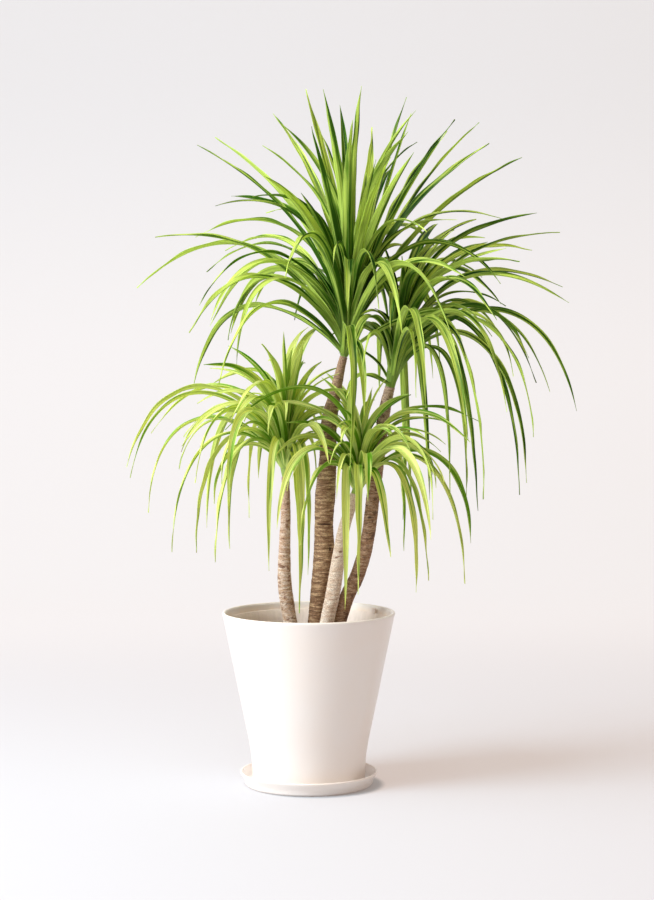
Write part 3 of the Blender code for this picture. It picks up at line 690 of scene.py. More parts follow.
def bark_look(graph, given):
    """Cane bark: dark in the leaf-scar grooves, worn pale on the ridges, with cork patches."""
    place = graph.place()
    band = graph.noise(place, 60.0, 4.0, 0.6, (1.0, 1.0, 4.5))
    patch = graph.noise(place, 75.0, 4.0, 0.65, (1.0, 1.0, 1.6))
    fibre = graph.noise(place, 900.0, 3.0, 0.7, (1.0, 1.0, 0.25))
    flake = graph.noise(place, 420.0, 3.0, 0.6, (1.0, 1.0, 2.2))
    tone = graph.mix(graph.remap(band, 0.40, 0.66), given["Skin"], given["Worn"])
    tone = graph.mix(graph.times(graph.given("young"), 0.8), tone, given["Young"])
    edge = graph.math("SUBTRACT", 0.76, graph.times(given["Patches"], 0.30))
    spots = graph.remap(patch, edge, graph.plus(edge, 0.07))
    tone = graph.mix(graph.times(spots, 0.85), tone, given["Patch"])
    tone = graph.mix(graph.remap(flake, 0.42, 0.60, 0.45, 0.0), tone, given["Groove"])
    deep = graph.remap(graph.given("groove"), 0.15, 0.95, 0.0, 0.9)
    tone = graph.mix(deep, tone, given["Groove"])
    rough = graph.remap(fibre, *WIDE_SPAN, 0.62, 0.9)
    return tone, rough, graph.plus(flake, graph.times(fibre, 0.6))


def leaf_look(graph, given):
    """A strap leaf: parallel veins, pale keel, margins and base, and a dry point on some, with painted
    light and shade: the half facing the key light lighter, the other half darker, and the blade darker
    low down and lighter further out.

    The mesh gives strap (across, -1 to 1 from its shaded to its sunny half, along, 0 to 1, and its
    own lightness), fibre (metres, for the veins) and below (its underside).
    """
    across, along, own = graph.parts(graph.given("strap", "Vector"))
    fibre, below = graph.given("fibre", "Vector"), graph.given("below")
    vein = graph.noise(fibre, 900.0, 2.0, stretch=(1.0, 0.012, 1.0))
    stripe = graph.noise(fibre, 230.0, 2.0, stretch=(1.0, 0.03, 1.0))
    cloud = graph.noise(fibre, 45.0, stretch=(1.0, 0.25, 1.0))
    share = graph.remap(own, 0.0, 1.2)
    share = graph.plus(share, graph.remap(cloud, *WIDE_SPAN, -0.20, 0.20))
    # Painted light and shade: the sunny half of the fold lighter, the shaded half darker
    share = graph.plus(share, graph.remap(across, -0.08, 0.08, -0.34, 0.36))
    # Painted shade low on each blade, in the heart of the head, and painted light further out
    share = graph.plus(share, graph.remap(along, 0.06, 0.55, -0.42, 0.20))
    share = graph.plus(share, graph.remap(stripe, 0.39, 0.61, -0.47, 0.50), clamp=True)
    tone = graph.mix(share, given["Deep"], given["Bright"])
    rich = graph.mix(graph.remap(share, 0.10, 0.80), RICH_GREEN, (1.0, 1.0, 1.0))
    tone = graph.mix(1.0, tone, rich, "MULTIPLY")
    tone = graph.mix(graph.remap(vein, 0.36, 0.62, 0.45, 0.0), tone, given["Deep"])
    tone = graph.mix(graph.times(below, 0.30), tone, given["Underside"])
    aside = graph.math("ABSOLUTE", across)
    keel = graph.remap(aside, 0.03, 0.12, 0.22, 0.0)
    margin = graph.remap(aside, 0.92, 1.0, 0.0, 0.45)
    root = graph.remap(along, 0.01, 0.10, 0.48, 0.0)
    pale = graph.math("MAXIMUM", graph.math("MAXIMUM", keel, margin), root)
    tone = graph.mix(pale, tone, given["Pale"])
    reach = graph.remap(own, 1.30, 1.85, 1.02, 0.97)
    point = graph.remap(along, reach, graph.plus(reach, 0.02))
    rough = graph.plus(graph.remap(stripe, *WIDE_SPAN, 0.30, 0.40), graph.times(below, 0.12))
    return graph.mix(point, tone, given["Dry"]), rough, vein


def skin(rings, loop_rows=False):
    """Corners and faces over rings of points: round each ring, ring to ring, and flat ends."""
    rows, count = rings.shape[:2]
    faces = []
    for row in range(rows if loop_rows else rows - 1):
        a, b = row * count, (row + 1) % rows * count
        faces += [(a + k, a + (k + 1) % count, b + (k + 1) % count, b + k) for k in range(count)]
    if not loop_rows:
        last = (rows - 1) * count
        faces += [tuple(range(count - 1, -1, -1)), tuple(range(last, last + count))]
    return rings.reshape(-1, 3), faces


def mesh_piece(name, verts, faces, material, slot, sharp=40.0, **values):
    """A smooth-shaded mesh that rides on the part, with named values or vectors of its corners."""
    mesh = bpy.data.meshes.new(name)
    mesh.from_pydata(verts.tolist(), [], faces)
    mesh.shade_smooth()
    mesh.set_sharp_from_angle(angle=math.radians(sharp))
    for label, array in values.items():
        array = np.asarray(array, np.float32).ravel()
        vector = array.size == 3 * len(verts)
        attribute = mesh.attributes.new(label, "FLOAT_VECTOR" if vector else "FLOAT", "POINT")
        attribute.data.foreach_set("vector" if vector else "value", array)
    mesh.materials.append(material)
    piece = bpy.data.objects.new(name, mesh)
    bpy.context.scene.collection.objects.link(piece)
    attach(piece, "root")
    return piece


def lathe(profile, sides):
    """Rings round Z for (radius, height) points."""
    angle = np.arange(sides) * 2 * math.pi / sides
    radius, height = np.array(profile, float).T
    return np.stack([radius[:, None] * np.cos(angle), radius[:, None] * np.sin(angle),
                     np.repeat(height[:, None], sides, 1)], axis=2)


def arc(center, radius, start, end, steps):
    """(radius, height) points on an arc of a profile, angles in degrees."""
    angles = [math.radians(start + (end - start) * i / steps) for i in range(steps + 1)]
    return [(center[0] + radius * math.cos(a), center[1] + radius * math.sin(a)) for a in angles]


def line(start, end, steps):
    """(radius, height) points between two, the ends left out."""
    return [tuple(a + (b - a) * i / steps for a, b in zip(start, end)) for i in range(1, steps)]


def glaze_material(planter):
    """The glaze that planter and saucer share."""
    made = bpy.data.materials.get("glazed_clay")
    if made:
        return made
    group = effect_group("satin_glaze", glaze_look, ("Glaze", "Thin", "Clay"))
    return material_with(
        "glazed_clay", group, {"Glaze": planter.glaze, "Thin": THIN_GLAZE_AND_SHADE, "Clay": planter.clay},
        {"IOR": 1.5, "Coat Weight": 0.30, "Coat Roughness": 0.18}, 0.10, 0.002)


def lip_share(depth, thins):
    """How far the glaze has run thin at a depth under the top of a lip."""
    return np.clip((thins[0] - depth) / (thins[0] - thins[1]), 0.0, 1.0) * LIP_THIN


def make_saucer(planter):
    """Shallow dish: flared side, rolled lip, shallow well and a foot ring wiped bare."""
    high = BOX["saucer"][1]
    rim, top, roll, foot = high.x, high.z, SAUCER_ROLL, SAUCER_FOOT_R
    middle, well, ring = (AXIS_R, SAUCER_FLOOR), SAUCER_WELL, SAUCER_FOOT_RING
    profile = [middle, *line(middle, (foot - 0.0065, SAUCER_FLOOR), 8)]
    profile += arc((foot - 0.0035, SAUCER_FLOOR + SAUCER_BEND), SAUCER_BEND, -88, -22, 7)
    profile += line(profile[-1], (rim - roll - roll, top - roll), 5)
    profile += arc((rim - roll, top - roll), roll, 172, 0, 8)
    profile += line((rim, top - roll), (foot + 0.0047, 0.0066), 6)
    profile += arc((foot, SAUCER_HEEL), SAUCER_HEEL, -5, -90, 7)
    profile += [(foot - ring, 0.0), (foot - ring - 0.0015, well), (SAUCER_PAD_R + 0.002, well)]
    profile += [(SAUCER_PAD_R, 0.0), (AXIS_R, 0.0)]
    verts, faces = skin(lathe(profile, planter.sides))
    bare = (verts[:, 2] < 0.0004) & (np.hypot(verts[:, 0], verts[:, 1]) < foot + 0.001)
    piece = mesh_piece("glazed_saucer", verts, faces, glaze_material(planter), "glaze",
                       lip=lip_share(top - verts[:, 2], SAUCER_THINS), bare=bare)
    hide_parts("saucer")


def pot_radius(z):
    """The planter's outer radius at a height: a straight taper that eases into the foot."""
    low, high = BOX["pot"]
    straight = high.x - POT_TAPER * (high.z - z)
    below = np.maximum(POT_EASE_Z - z, 0.0)
    return straight + POT_TAPER / (2 * (POT_EASE_Z - low.z)) * below * below


def pot_inner_radius(z):
    """The planter's inner radius: the wall thins from the floor to the lip."""
    low, high = BOX["pot"]
    share = (z - low.z) / (high.z - low.z)
    return pot_radius(z) - (POT_WALL + (POT_LIP - POT_WALL) * share)


def make_pot(planter):
    """Tall planter: rounded lip, turned wall, a rounded heel and a drain hole."""
    low, high = BOX["pot"]
    lip, floor, hollow = POT_LIP / 2, low.z + POT_FLOOR, low.z + POT_HOLLOW
    heel = pot_radius(low.z) - POT_HEEL
    profile = arc((high.x - lip, high.z - lip), lip, 175, 0, 12)
    profile += [(pot_radius(z), z) for z in np.linspace(high.z - lip, low.z + 0.0035, 44)[1:]]
    profile += arc((heel, low.z + POT_HEEL), POT_HEEL, -12, -90, 6)
    profile += [(heel - 0.009, low.z), (heel - 0.0105, hollow), (DRAIN_R + 0.012, hollow)]
    profile += [(DRAIN_R, low.z + 0.002), (DRAIN_R, floor), (pot_inner_radius(floor) - 0.004, floor)]
    profile += [(pot_inner_radius(z), z) for z in np.linspace(floor + 0.005, high.z - lip, 30)]
    verts, faces = skin(lathe(profile, planter.sides), loop_rows=True)
    height = verts[:, 2]
    inside = np.hypot(verts[:, 0], verts[:, 1]) < pot_radius(height) - lip
    # Painted shade: the planter's inner wall under the lip takes the thin glaze's beige
    thin = (inside & (height < high.z - lip)) * INNER_PAINTED_SHADE
    lips = np.maximum(lip_share(high.z - height, POT_THINS), thin)
    piece = mesh_piece("glazed_planter", verts, faces, glaze_material(planter), "glaze",
                       lip=lips, bare=height < low.z + 0.0002)
    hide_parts("pot")


def direction(heading, rise):
    """A unit direction from a heading round Z and a rise above the level, in degrees."""
    h, r = math.radians(heading), math.radians(rise)
    return Vector((math.cos(h) * math.cos(r), math.sin(h) * math.cos(r), math.sin(r)))


def liner_radius(z):
    """The nursery pot's outer radius at a height."""
    low = BOX["nursery_pot"][0].z
    share = (z - low) / (LINER_TOP - low)
    return LINER_FOOT_R + (LINER_RIM_R - LINER_BAND_STEP - LINER_FOOT_R) * share


def add_tab(material):
    """The lifting tab that stands up from the nursery pot's rim."""
    bpy.ops.mesh.primitive_cube_add(size=1.0)
    tab = bpy.context.object
    tab.name = "lifting_tab"
    tab.data.transform(Matrix.Diagonal((*TAB_SIZE, 1.0)))
    tab.data.transform(Matrix.Rotation(math.radians(TAB_HEADING), 4, "Z"))
    middle = direction(TAB_HEADING, 0.0) * TAB_REACH + Vector((0.0, 0.0, TAB_MIDDLE))
    tab.data.transform(Matrix.Translation(middle))
    edge = tab.modifiers.new("soft_edges", "BEVEL")
    edge.width, edge.segments = TAB_EDGE, 3
    tab.data.materials.append(material)
    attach(tab, "root")


def make_nursery_pot(planter):
    """Thin nursery pot: rim band, drain hole and its lifting tab."""
    low = BOX["nursery_pot"][0].z
    band, floor, roll = LINER_TOP - LINER_BAND, low + LINER_WALL, LINER_WALL / 2
    profile = arc((LINER_RIM_R - roll, LINER_TOP - roll), roll, 175, 0, 6)
    profile += [(liner_radius(band) + LINER_BAND_STEP, band)]
    profile += [(liner_radius(band), band - LINER_BAND_STEP)]
    profile += [(liner_radius(z), z) for z in np.linspace(band - 0.004, low + 0.002, 24)]
    profile += [(LINER_FOOT_R - 0.0015, low), (DRAIN_R, low), (DRAIN_R, floor)]
    profile += [(liner_radius(z) - LINER_WALL, z) for z in np.linspace(floor, LINER_TOP - 0.004, 26)]
    verts, faces = skin(lathe(profile, planter.sides), loop_rows=True)
    group = effect_group("moulded_plastic", plastic_look, ("Plastic", "Lime", "Dirt"))
    colors = {"Plastic": planter.plastic, "Lime": PALE_STREAK, "Dirt": SPLASHED_SOIL}
    material = material_with("nursery_plastic", group, colors, {"IOR": 1.49}, 0.15, 0.0005)
    piece = mesh_piece("nursery_pot_shell", verts, faces, material, "liner_plastic")
    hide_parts("nursery_pot")
    add_tab(material)


def place_copies(shape, places):
    """Corners and faces of many copies of a small shape, each with its own matrix."""
    corners, faces = shape
    verts = np.concatenate([corners @ np.array(m.to_3x3()).T + np.array(m.translation)
                            for m in places])
    step = len(corners)
    return verts, [tuple(i + step * k for i in face) for k in range(len(places)) for face in faces]


def ball(detail):
    """Corners and faces of a small sphere made of triangles."""
    form = bmesh.new()
    bmesh.ops.create_icosphere(form, subdivisions=detail, radius=0.5)
    corners = np.array([v.co for v in form.verts])
    faces = [tuple(v.index for v in f.verts) for f in form.faces]
    form.free()
    return corners, faces


def soil_height(x, y):
    """The soil's surface: a low mound with lumps and crumbs."""
    fall = min(max((math.hypot(x, y) - SOIL_FLAT_R) / SOIL_FALL_R, 0.0), 1.0)
    mound = BOX["soil"][1].z - SOIL_CROWN * fall ** 2
    lumps = noise.noise(Vector((x, y, 0.0)) * 38.0) * SOIL_LUMP
    crumbs = noise.noise(Vector((x, y, 3.0)) * 230.0) * SOIL_CRUMB
    return mound + lumps + crumbs - SOIL_CRUMB


def soil_spot(draw, clear):
    """A random place on the soil that is clear of the canes."""
    reach = liner_radius(BOX["soil"][1].z) - LINER_WALL - 0.006
    collars = [Vector(points[1]) for points in CANES.values()]
    while True:
        radius, heading = reach * math.sqrt(draw.random()), draw.uniform(0.0, 360.0)
        spot = direction(heading, 0.0) * radius
        if all((spot.xy - c.xy).length > c[3] + clear for c in collars):
            spot.z = soil_height(spot.x, spot.y)
            return spot


def loose_bits(detail, count, size, slim, draw):
    """Bits of a usual size lying about on the soil, each of its own build."""
    places = []
    for _ in range(count):
        long = size * draw.uniform(0.5, 1.7)
        build = Matrix.Diagonal((long, long * draw.uniform(0.4, 0.8), long * slim, 1.0))
        lie = Matrix.Rotation(draw.uniform(0, 2 * math.pi), 4, "Z") @ Matrix.Rotation(
            draw.gauss(0.0, 0.3), 4, "X") @ Matrix.Rotation(draw.gauss(0.0, 0.25), 4, "Y")
        spot = soil_spot(draw, 0.3 * size)
        places.append(Matrix.Translation(spot + Vector((0, 0, long * slim * 0.25))) @ lie @ build)
    verts, faces = place_copies(ball(detail), places)
    dents = [[noise.noise(Vector(v) * 420.0 + shift) for shift in DENT_SHIFTS] for v in verts]
    return verts + np.array(dents) * size * 0.16, faces


def crumb_material(name, mix, dry, grain, specular, bump, bump_reach):
    """A crumbly material with its colour in the fine crumbs and in the dry ones."""
    group = effect_group("crumbs", crumb_look, ("Mix", "Dry"), ("Grain",))
    values = {"Mix": mix, "Dry": dry, "Grain": grain}
    return material_with(name, group, values, {"Specular IOR Level": specular}, bump, bump_reach)


def make_soil(soil):
    """Crumbly mix with pieces of bark and a few pumice stones."""
    low, high = BOX["soil"]
    heights = (low.z + GAP, high.z - SOIL_CROWN - 0.003)
    edge = [(liner_radius(z) - LINER_WALL - 2 * GAP, z) for z in heights]
    reach = edge[-1][0]
    profile = [(AXIS_R, heights[0]), *edge]
    profile += [(reach * (1 - i / SOIL_RINGS), 0.0) for i in range(SOIL_RINGS)]
    verts, faces = skin(lathe(profile, SOIL_SECTORS))
    for vert in verts[3 * SOIL_SECTORS:]:
        vert[2] = soil_height(vert[0], vert[1])
    mix = crumb_material("soil_mix", soil.mix, (0.20, 0.125, 0.075), 420.0, 0.25, 0.9, 0.0016)
    piece = mesh_piece("soil_bed", verts, faces, mix, "potting_mix", 180.0)
    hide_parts("soil")
    draw = random.Random("soil bits")
    bark = crumb_material(
        "bark_chip", (0.085, 0.045, 0.026), (0.26, 0.15, 0.085), 150.0, 0.3, 0.6, 0.0008)
    chips = loose_bits(1, soil.chips, soil.chip, 0.30, draw)
    mesh_piece("bark_chips", *chips, bark, "potting_mix", 35.0)
    pumice = crumb_material("pumice", (0.34, 0.31, 0.27), (0.66, 0.62, 0.55), 900.0, 0.25, 0.8, 0.0006)
    stones = loose_bits(2, soil.stones, soil.chip * 0.6, 0.75, draw)
    mesh_piece("pumice_stones", *stones, pumice, "potting_mix", 180.0)


def smooth_path(points, spacing=PATH_STEP):
    """A smooth curve through (x, y, z, radius) points, as a dense list of the same."""
    rows = [Vector(p) for p in points]
    path = []
    for i in range(len(rows) - 1):
        a, b, c, d = rows[max(i - 1, 0)], rows[i], rows[i + 1], rows[min(i + 2, len(rows) - 1)]
        steps = max(int((c.xyz - b.xyz).length / spacing), 1)
        for k in range(steps):
            t = k / steps
            path.append(0.5 * ((2 * b) + (c - a) * t + (2 * a - 5 * b + 4 * c - d) * t * t
                               + (3 * b - a - 3 * c + d) * t * t * t))
    path.append(rows[-1])
    return path


def at_length(path, wanted):
    """The point of a path at a length along it."""
    run = 0.0
    for a, b in zip(path, path[1:]):
        step = (b.xyz - a.xyz).length
        if run + step >= wanted:
            return a.lerp(b, (wanted - run) / step)
        run += step
    return path[-1].copy()


def tube_rings(path, sides, bulge=None):
    """Rings of points round a path of (x, y, z, radius), and the length and heading of each."""
    rows = np.array(path)
    places = rows[:, :3]
    travel = np.gradient(places, axis=0)
    travel /= np.linalg.norm(travel, axis=1)[:, None]
    out = np.cross(travel, (0.0, 1.0, 0.0))
    out /= np.linalg.norm(out, axis=1)[:, None]
    back = np.cross(travel, out)
    run = np.concatenate([[0.0], np.cumsum(np.linalg.norm(np.diff(places, axis=0), axis=1))])
    angle = np.arange(sides) * 2 * math.pi / sides
    run, angle = np.meshgrid(run, angle, indexing="ij")
    radius = rows[:, 3][:, None] + (bulge(run, angle) if bulge else 0.0)
    rings = (places[:, None] + radius[:, :, None] * (np.cos(angle)[:, :, None] * out[:, None]
                                                     + np.sin(angle)[:, :, None] * back[:, None]))
    return rings, run, angle


def scar_relief(name, run, angle):
    """Depth of the leaf-scar grooves, 0 to 1, and of the lips over them, for points on a cane."""
    bark, grooves, lips = BARK[name], np.zeros_like(run), np.zeros_like(run)
    rise = bark["rise"]
    count = int(run.max() / rise) + 4 * SCARS_SPARE
    draw = random.Random(name + " scars")
    shift = np.array([draw.uniform(-0.25, 0.25) for _ in range(count)]) * rise
    weight = np.array([draw.uniform(0.45, 1.0) for _ in range(count)])
    nearest = np.rint(run / rise).astype(int) + SCARS_SPARE
    for offset in range(-SCARS_NEAR, SCARS_NEAR + 1):
        scar = nearest + offset
        facing = np.cos(angle - np.radians(GOLDEN) * scar)
        level = (scar - SCARS_SPARE) * rise + shift[scar] - bark["slant"] * facing
        reach = np.clip((facing + 0.35) / 0.5, 0.0, 1.0) * weight[scar]
        gap = (run - level) / bark["groove"]
        grooves = np.maximum(grooves, reach * np.exp(-gap * gap))
        lips = np.maximum(lips, reach * np.exp(-(gap + 1.9) ** 2 / 2.2))
    return grooves, lips * bark["lip"]


def press_marks(name, height, heading, grooves, relief):
    """The grooves and relief of a cane with its crack and bud scars pressed in."""
    for level, facing, tall, wide, deep in MARKS[name]:
        turn = (heading - math.radians(facing) + math.pi) % (2 * math.pi) - math.pi
        spot = np.exp(-((height - level) / tall) ** 2 - (turn / math.radians(wide)) ** 4)
        grooves = np.maximum(grooves, np.minimum(spot * 1.3, 1.0))
        relief = relief - deep * spot
    return grooves, relief


def make_canes(canes):
    """The bare woody canes, ringed with leaf scars."""
    group = effect_group("scarred_bark", bark_look, BARK_SOCKETS[:-1], BARK_SOCKETS[-1:])
    for name, points in CANES.items():
        path = [Vector(points[0])] + smooth_path(points[1:], canes.row)
        rings, run, angle = tube_rings(path, canes.sides)
        center = np.array(path)[:, None, :3]
        out = rings - center
        radius = np.linalg.norm(out, axis=2)
        grooves, lips = scar_relief(name, run, angle)
        relief = canes.groove * BARK[name]["depth"] * (lips - grooves)
        heading = np.arctan2(out[:, :, 1], out[:, :, 0])
        grooves, relief = press_marks(name, rings[:, :, 2], heading, grooves, relief)
        lumps = np.array([[noise.noise(Vector(v) * 95.0) + 0.5 * noise.noise(Vector(v) * 260.0)
                           for v in ring] for ring in rings])
        grown = radius + relief + lumps * CANE_LUMP
        verts, faces = skin(center + out / radius[:, :, None] * grown[:, :, None])
        young = np.clip(1.0 - (run.max() - run) / YOUNG_LENGTH, 0.0, 1.0)
        material = material_with(
            name + "_bark", group, dict(zip(BARK_SOCKETS, BARK_COLORS[name])),
            {"Specular IOR Level": 0.35}, 0.55, 0.0007)
        piece = mesh_piece(name + "_wood", verts, faces, material, SLOTS[name], 70.0,
                           groove=grooves, young=young)
        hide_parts(name)


def stem_rows(head):
    """The green stem tip as (x, y, z, radius) rows, from just over the cane to the apex."""
    points = CANES[head["cane"]]
    path = smooth_path(points[1:])
    total = sum((b.xyz - a.xyz).length for a, b in zip(path, path[1:]))
    foot = Vector(points[-1])
    before = at_length(path, (int(total / RING_PITCH) - 1 + GROOVE_SHARE) * RING_PITCH)
    axis = (foot.xyz - before.xyz).normalized()
    base, tip = foot.xyz + axis * GAP, Vector(head["tip"])
    length = (tip - base).length
    rows = [Vector((*base, foot[3]))]
    for share, girth in STEM_GIRTHS:
        lean = base + axis * length * share
        place = lean.lerp(base.lerp(tip, share), share)
        rows.append(Vector((*place, head["girth"] * girth)))
    return rows


def stem_point(rows, share):
    """A point (x, y, z, radius) of the stem tip at a share of the way through its rows."""
    place = share * (len(rows) - 1)
    i = min(int(place), len(rows) - 2)
    return rows[i].lerp(rows[i + 1], place - i)


def at_depth(x, z, y):
    """The point at depth y that is seen in line with (x, z) in the plane of the axis."""
    ray = Vector((x, 0.0, z)) - EYE
    return EYE + ray * ((y - EYE.y) / ray.y)


def leader(rows, head, tip, draw, step, lift):
    """The curve of an outline leaf; the step slides its tip back or forward."""
    middle = stem_point(rows, STEM_MIDDLE).xyz
    x, z, share, *own_arch = tip
    flat = Vector((x / 1000 - middle.x, 0.0, z / 1000 - middle.z))
    spare = max(head["chord"] ** 2 - flat.length_squared, 0.0)
    end = at_depth(x / 1000, z / 1000, middle.y + share * math.sqrt(spare) + STEP_SLIDE * step)
    reach = end - middle
    slope = math.degrees(math.atan2(reach.z, reach.xy.length))
    low = min(max((ARCH_SLOPE - slope) / ARCH_SPAN, 0.0), 1.0)
    arch = own_arch[0] if own_arch else ARCH_LEAST + head["arch"] * low ** head["ease"]
    arch += draw["lift"] + lift
    rise = slope + arch if own_arch else max(slope + arch, head["least_rise"])
    rise, fall = min(rise, STEEPEST), max(slope - arch, HANGING)
    heading = math.degrees(math.atan2(reach.y, reach.x))
    return bend(rows, heading, rise, fall, draw, end=end)


def filler(rows, head, index, draw, step, lift):
    """The curve of a leaf placed by the spiral; the step turns it round the stem."""
    share = (index + 0.5) / head["fill"]
    heading = head["start"] + GOLDEN * index + STEP_TURN * step
    rise = RISE_LOW + RISE_GAIN * share + draw["lift"] + lift
    fall = max(HANGING + FALL_GAIN * share ** FALL_POWER + FALL_LIFT * draw["lift"], HANGING)
    reach = OLDEST_REACH + (head["crest"] - OLDEST_REACH) * share + draw["length"]
    reach *= 1.0 - max(-head["crowded"] * direction(heading, 0.0).x, 0.0)
    return bend(rows, heading, rise, fall, draw, length=head["chord"] * reach)


def bend(rows, heading, rise, fall, draw, end=None, length=None):
    """A leaf's four curve points, from inside the stem out to the given end or length."""
    upright = (rise - SEAT_RISES[0]) / (SEAT_RISES[1] - SEAT_RISES[0])
    height = SEAT_LOW + SEAT_GAIN * min(max(upright, 0.0), 1.0) + draw["height"]
    seat = stem_point(rows, min(max(height, SEAT_ENDS[0]), SEAT_ENDS[1]))
    root = seat.xyz + direction(heading, 0.0) * seat[3] * SEAT_DEPTH
    side = direction(heading + 90.0, 0.0) * draw["sway"]
    up, down = direction(heading, rise), direction(heading, fall)
    if end is None:
        first = root + up * length * FILLER_LEGS[0]
        second = first + direction(heading, (rise + fall) / 2) * length * FILLER_LEGS[1] + side
        return (root, first, second, second + down * length * FILLER_LEGS[2]), seat[3]
    chord = (end - root).length
    arched = min((rise - fall) / ARCHED_SPAN, 1.0) ** 2
    near, far = (leg + more * arched for leg, more in zip(LEADER_LEGS, ARCHED_LEGS))
    return (root, root + up * chord * near, end - down * chord * far + side, end), seat[3]


def curve_rows(points, t, twist=0.0):
    """Places, sides and upper normals along a leaf's curve."""
    a, b, c, d = (np.array(p) for p in points)
    t = np.atleast_1d(t)[:, None]
    u = 1.0 - t
    place = a * u ** 3 + b * 3 * u * u * t + c * 3 * u * t * t + d * t ** 3
    travel = (b - a) * u * u + (c - b) * 2 * u * t + (d - c) * t * t
    travel /= np.linalg.norm(travel, axis=1)[:, None]
    heading = math.atan2(d[1] - a[1], d[0] - a[0])
    normal = -np.cross((-math.sin(heading), math.cos(heading), 0.0), travel)
    normal /= np.linalg.norm(normal, axis=1)[:, None]
    side = np.cross(travel, normal)
    cos, sin = np.cos(np.radians(twist) * t), np.sin(np.radians(twist) * t)
    return place, side * cos - normal * sin, normal * cos + side * sin


def point_share(t):
    """The share of its full width that a blade has on its way to the point."""
    return 1.0 - np.maximum((t - WIDEST) / (1.0 - WIDEST), 0.0) ** POINT_POWER


def width_share(t, root):
    """A strap leaf's width along its length: narrower root, full middle, long point."""
    ease = np.sin(math.pi / 2 * np.minimum(t / WIDEST, 1.0))
    return np.where(t < WIDEST, root + (1.0 - root) * ease, point_share(t))


def leaf_draws(name, kind, index):
    """The seeded differences between one leaf and the rule."""
    draw = random.Random(f"{name} {kind} {index}")
    return {label: draw.uniform(*ends) for label, ends in DRAWS.items()}


def solid_trees(name):
    """Search trees of a head's own solid and of all the others."""
    shapes = {True: ([], []), False: ([], [])}
    for node_name, node in frame["nodes"].items():
        verts, faces = shapes[node_name == name]
        start = len(verts)
        verts += [node.matrix_world @ v.co for v in node.data.vertices]
        faces += [[start + i for i in face.vertices] for face in node.data.polygons]
    return BVHTree.FromPolygons(*shapes[True]), BVHTree.FromPolygons(*shapes[False])


def fine_leaves(name, rows, count):
    """Fine young leaves between the others, clear of them and within the head's reach."""
    head = dict(HEADS[name], fill=count, start=HEADS[name]["start"] + GOLDEN / 2)
    low, high = BOX[name]
    own, others = solid_trees(name)
    found = []
    for index in range(count):
        draw = leaf_draws(name, "fine", index)
        draw["width"] *= FINE_WIDTH
        for step in range(FINE_TRIES):
            shorter = dict(draw, length=draw["length"] - FINE_SHRINK * step)
            points, girth = filler(rows, head, index, shorter, FINE_TURN * step, 0.0)
            places = [Vector(place) for place in curve_rows(points, np.linspace(0.2, 1.0, 17))[0]]
            inside = all(low[k] + FINE_MARGIN < place[k] < high[k] - FINE_MARGIN
                         for place in places for k in range(3))
            if inside and all(others.find_nearest(place)[3] > FINE_CLEAR for place in places) and all(
                    own.find_nearest(place)[3] > FINE_CLEAR / 2 for place in places[4:]):
                found.append((points, girth, draw))
                break
    return found


def find_leaf(tree, rows, head, rule, given, draw):
    """A leaf's curve, stem radius and draws where its blade stands on corners of the solid, if any."""
    half = head["width"] * draw["width"] * point_share(LAST_ROW) / 2
    fold = math.radians(FOLD_BLADE)
    best, closest = None, MATCH
    for lift in LIFTS:
        for step in range(-STEPS, STEPS + 1):
            points, girth = rule(rows, head, given, draw, step, lift)
            place, side, normal = curve_rows(points, LAST_ROW, draw["twist"])
            keel, edge = place + normal * half * math.sin(fold), side * half * math.cos(fold)
            marks = [points[3], *(keel + edge), *(keel - edge)]
            miss = max(tree.find(Vector(mark))[2] for mark in marks)
            if miss < closest:
                best, closest = (points, girth, draw), miss
    return best


def find_leaves(name, rows):
    """All leaves of a head that the solid has, outline leaves first."""
    head, node = HEADS[name], frame["nodes"][name]
    tree = KDTree(len(node.data.vertices))
    for vert in node.data.vertices:
        tree.insert(node.matrix_world @ vert.co, vert.index)
    tree.balance()
    wanted = [("leader", leader, index, tip) for index, tip in enumerate(LEADERS[name])]
    wanted += [("filler", filler, index, index) for index in range(head["fill"])]
    found = [find_leaf(tree, rows, head, rule, given, leaf_draws(name, kind, index))
             for kind, rule, index, given in wanted]
    return [leaf for leaf in found if leaf]


def section(half, fold, clasp, stem_radius):
    """Sideways and upward places across a blade: a folded strap that clasps the stem at its root."""
    middles, steps = (BLADE_SHARES[1:] + BLADE_SHARES[:-1]) / 2, np.diff(BLADE_SHARES)
    reach, clasp = half[:, None] * middles, clasp[:, None]
    lean = ((1.0 - clasp) * fold[:, None] * np.tanh(reach / KEEL_ROUND)
            + clasp * np.minimum(reach / stem_radius, MOST_CLASP))
    out = np.cumsum(half[:, None] * steps * np.cos(lean), axis=1)
    up = np.cumsum(half[:, None] * steps * np.sin(lean), axis=1)
    keel = np.zeros((len(half), 1))
    across = np.concatenate([-BLADE_SHARES[:0:-1], BLADE_SHARES])
    return np.hstack([-out[:, ::-1], keel, out]), np.hstack([up[:, ::-1], keel, up]), across


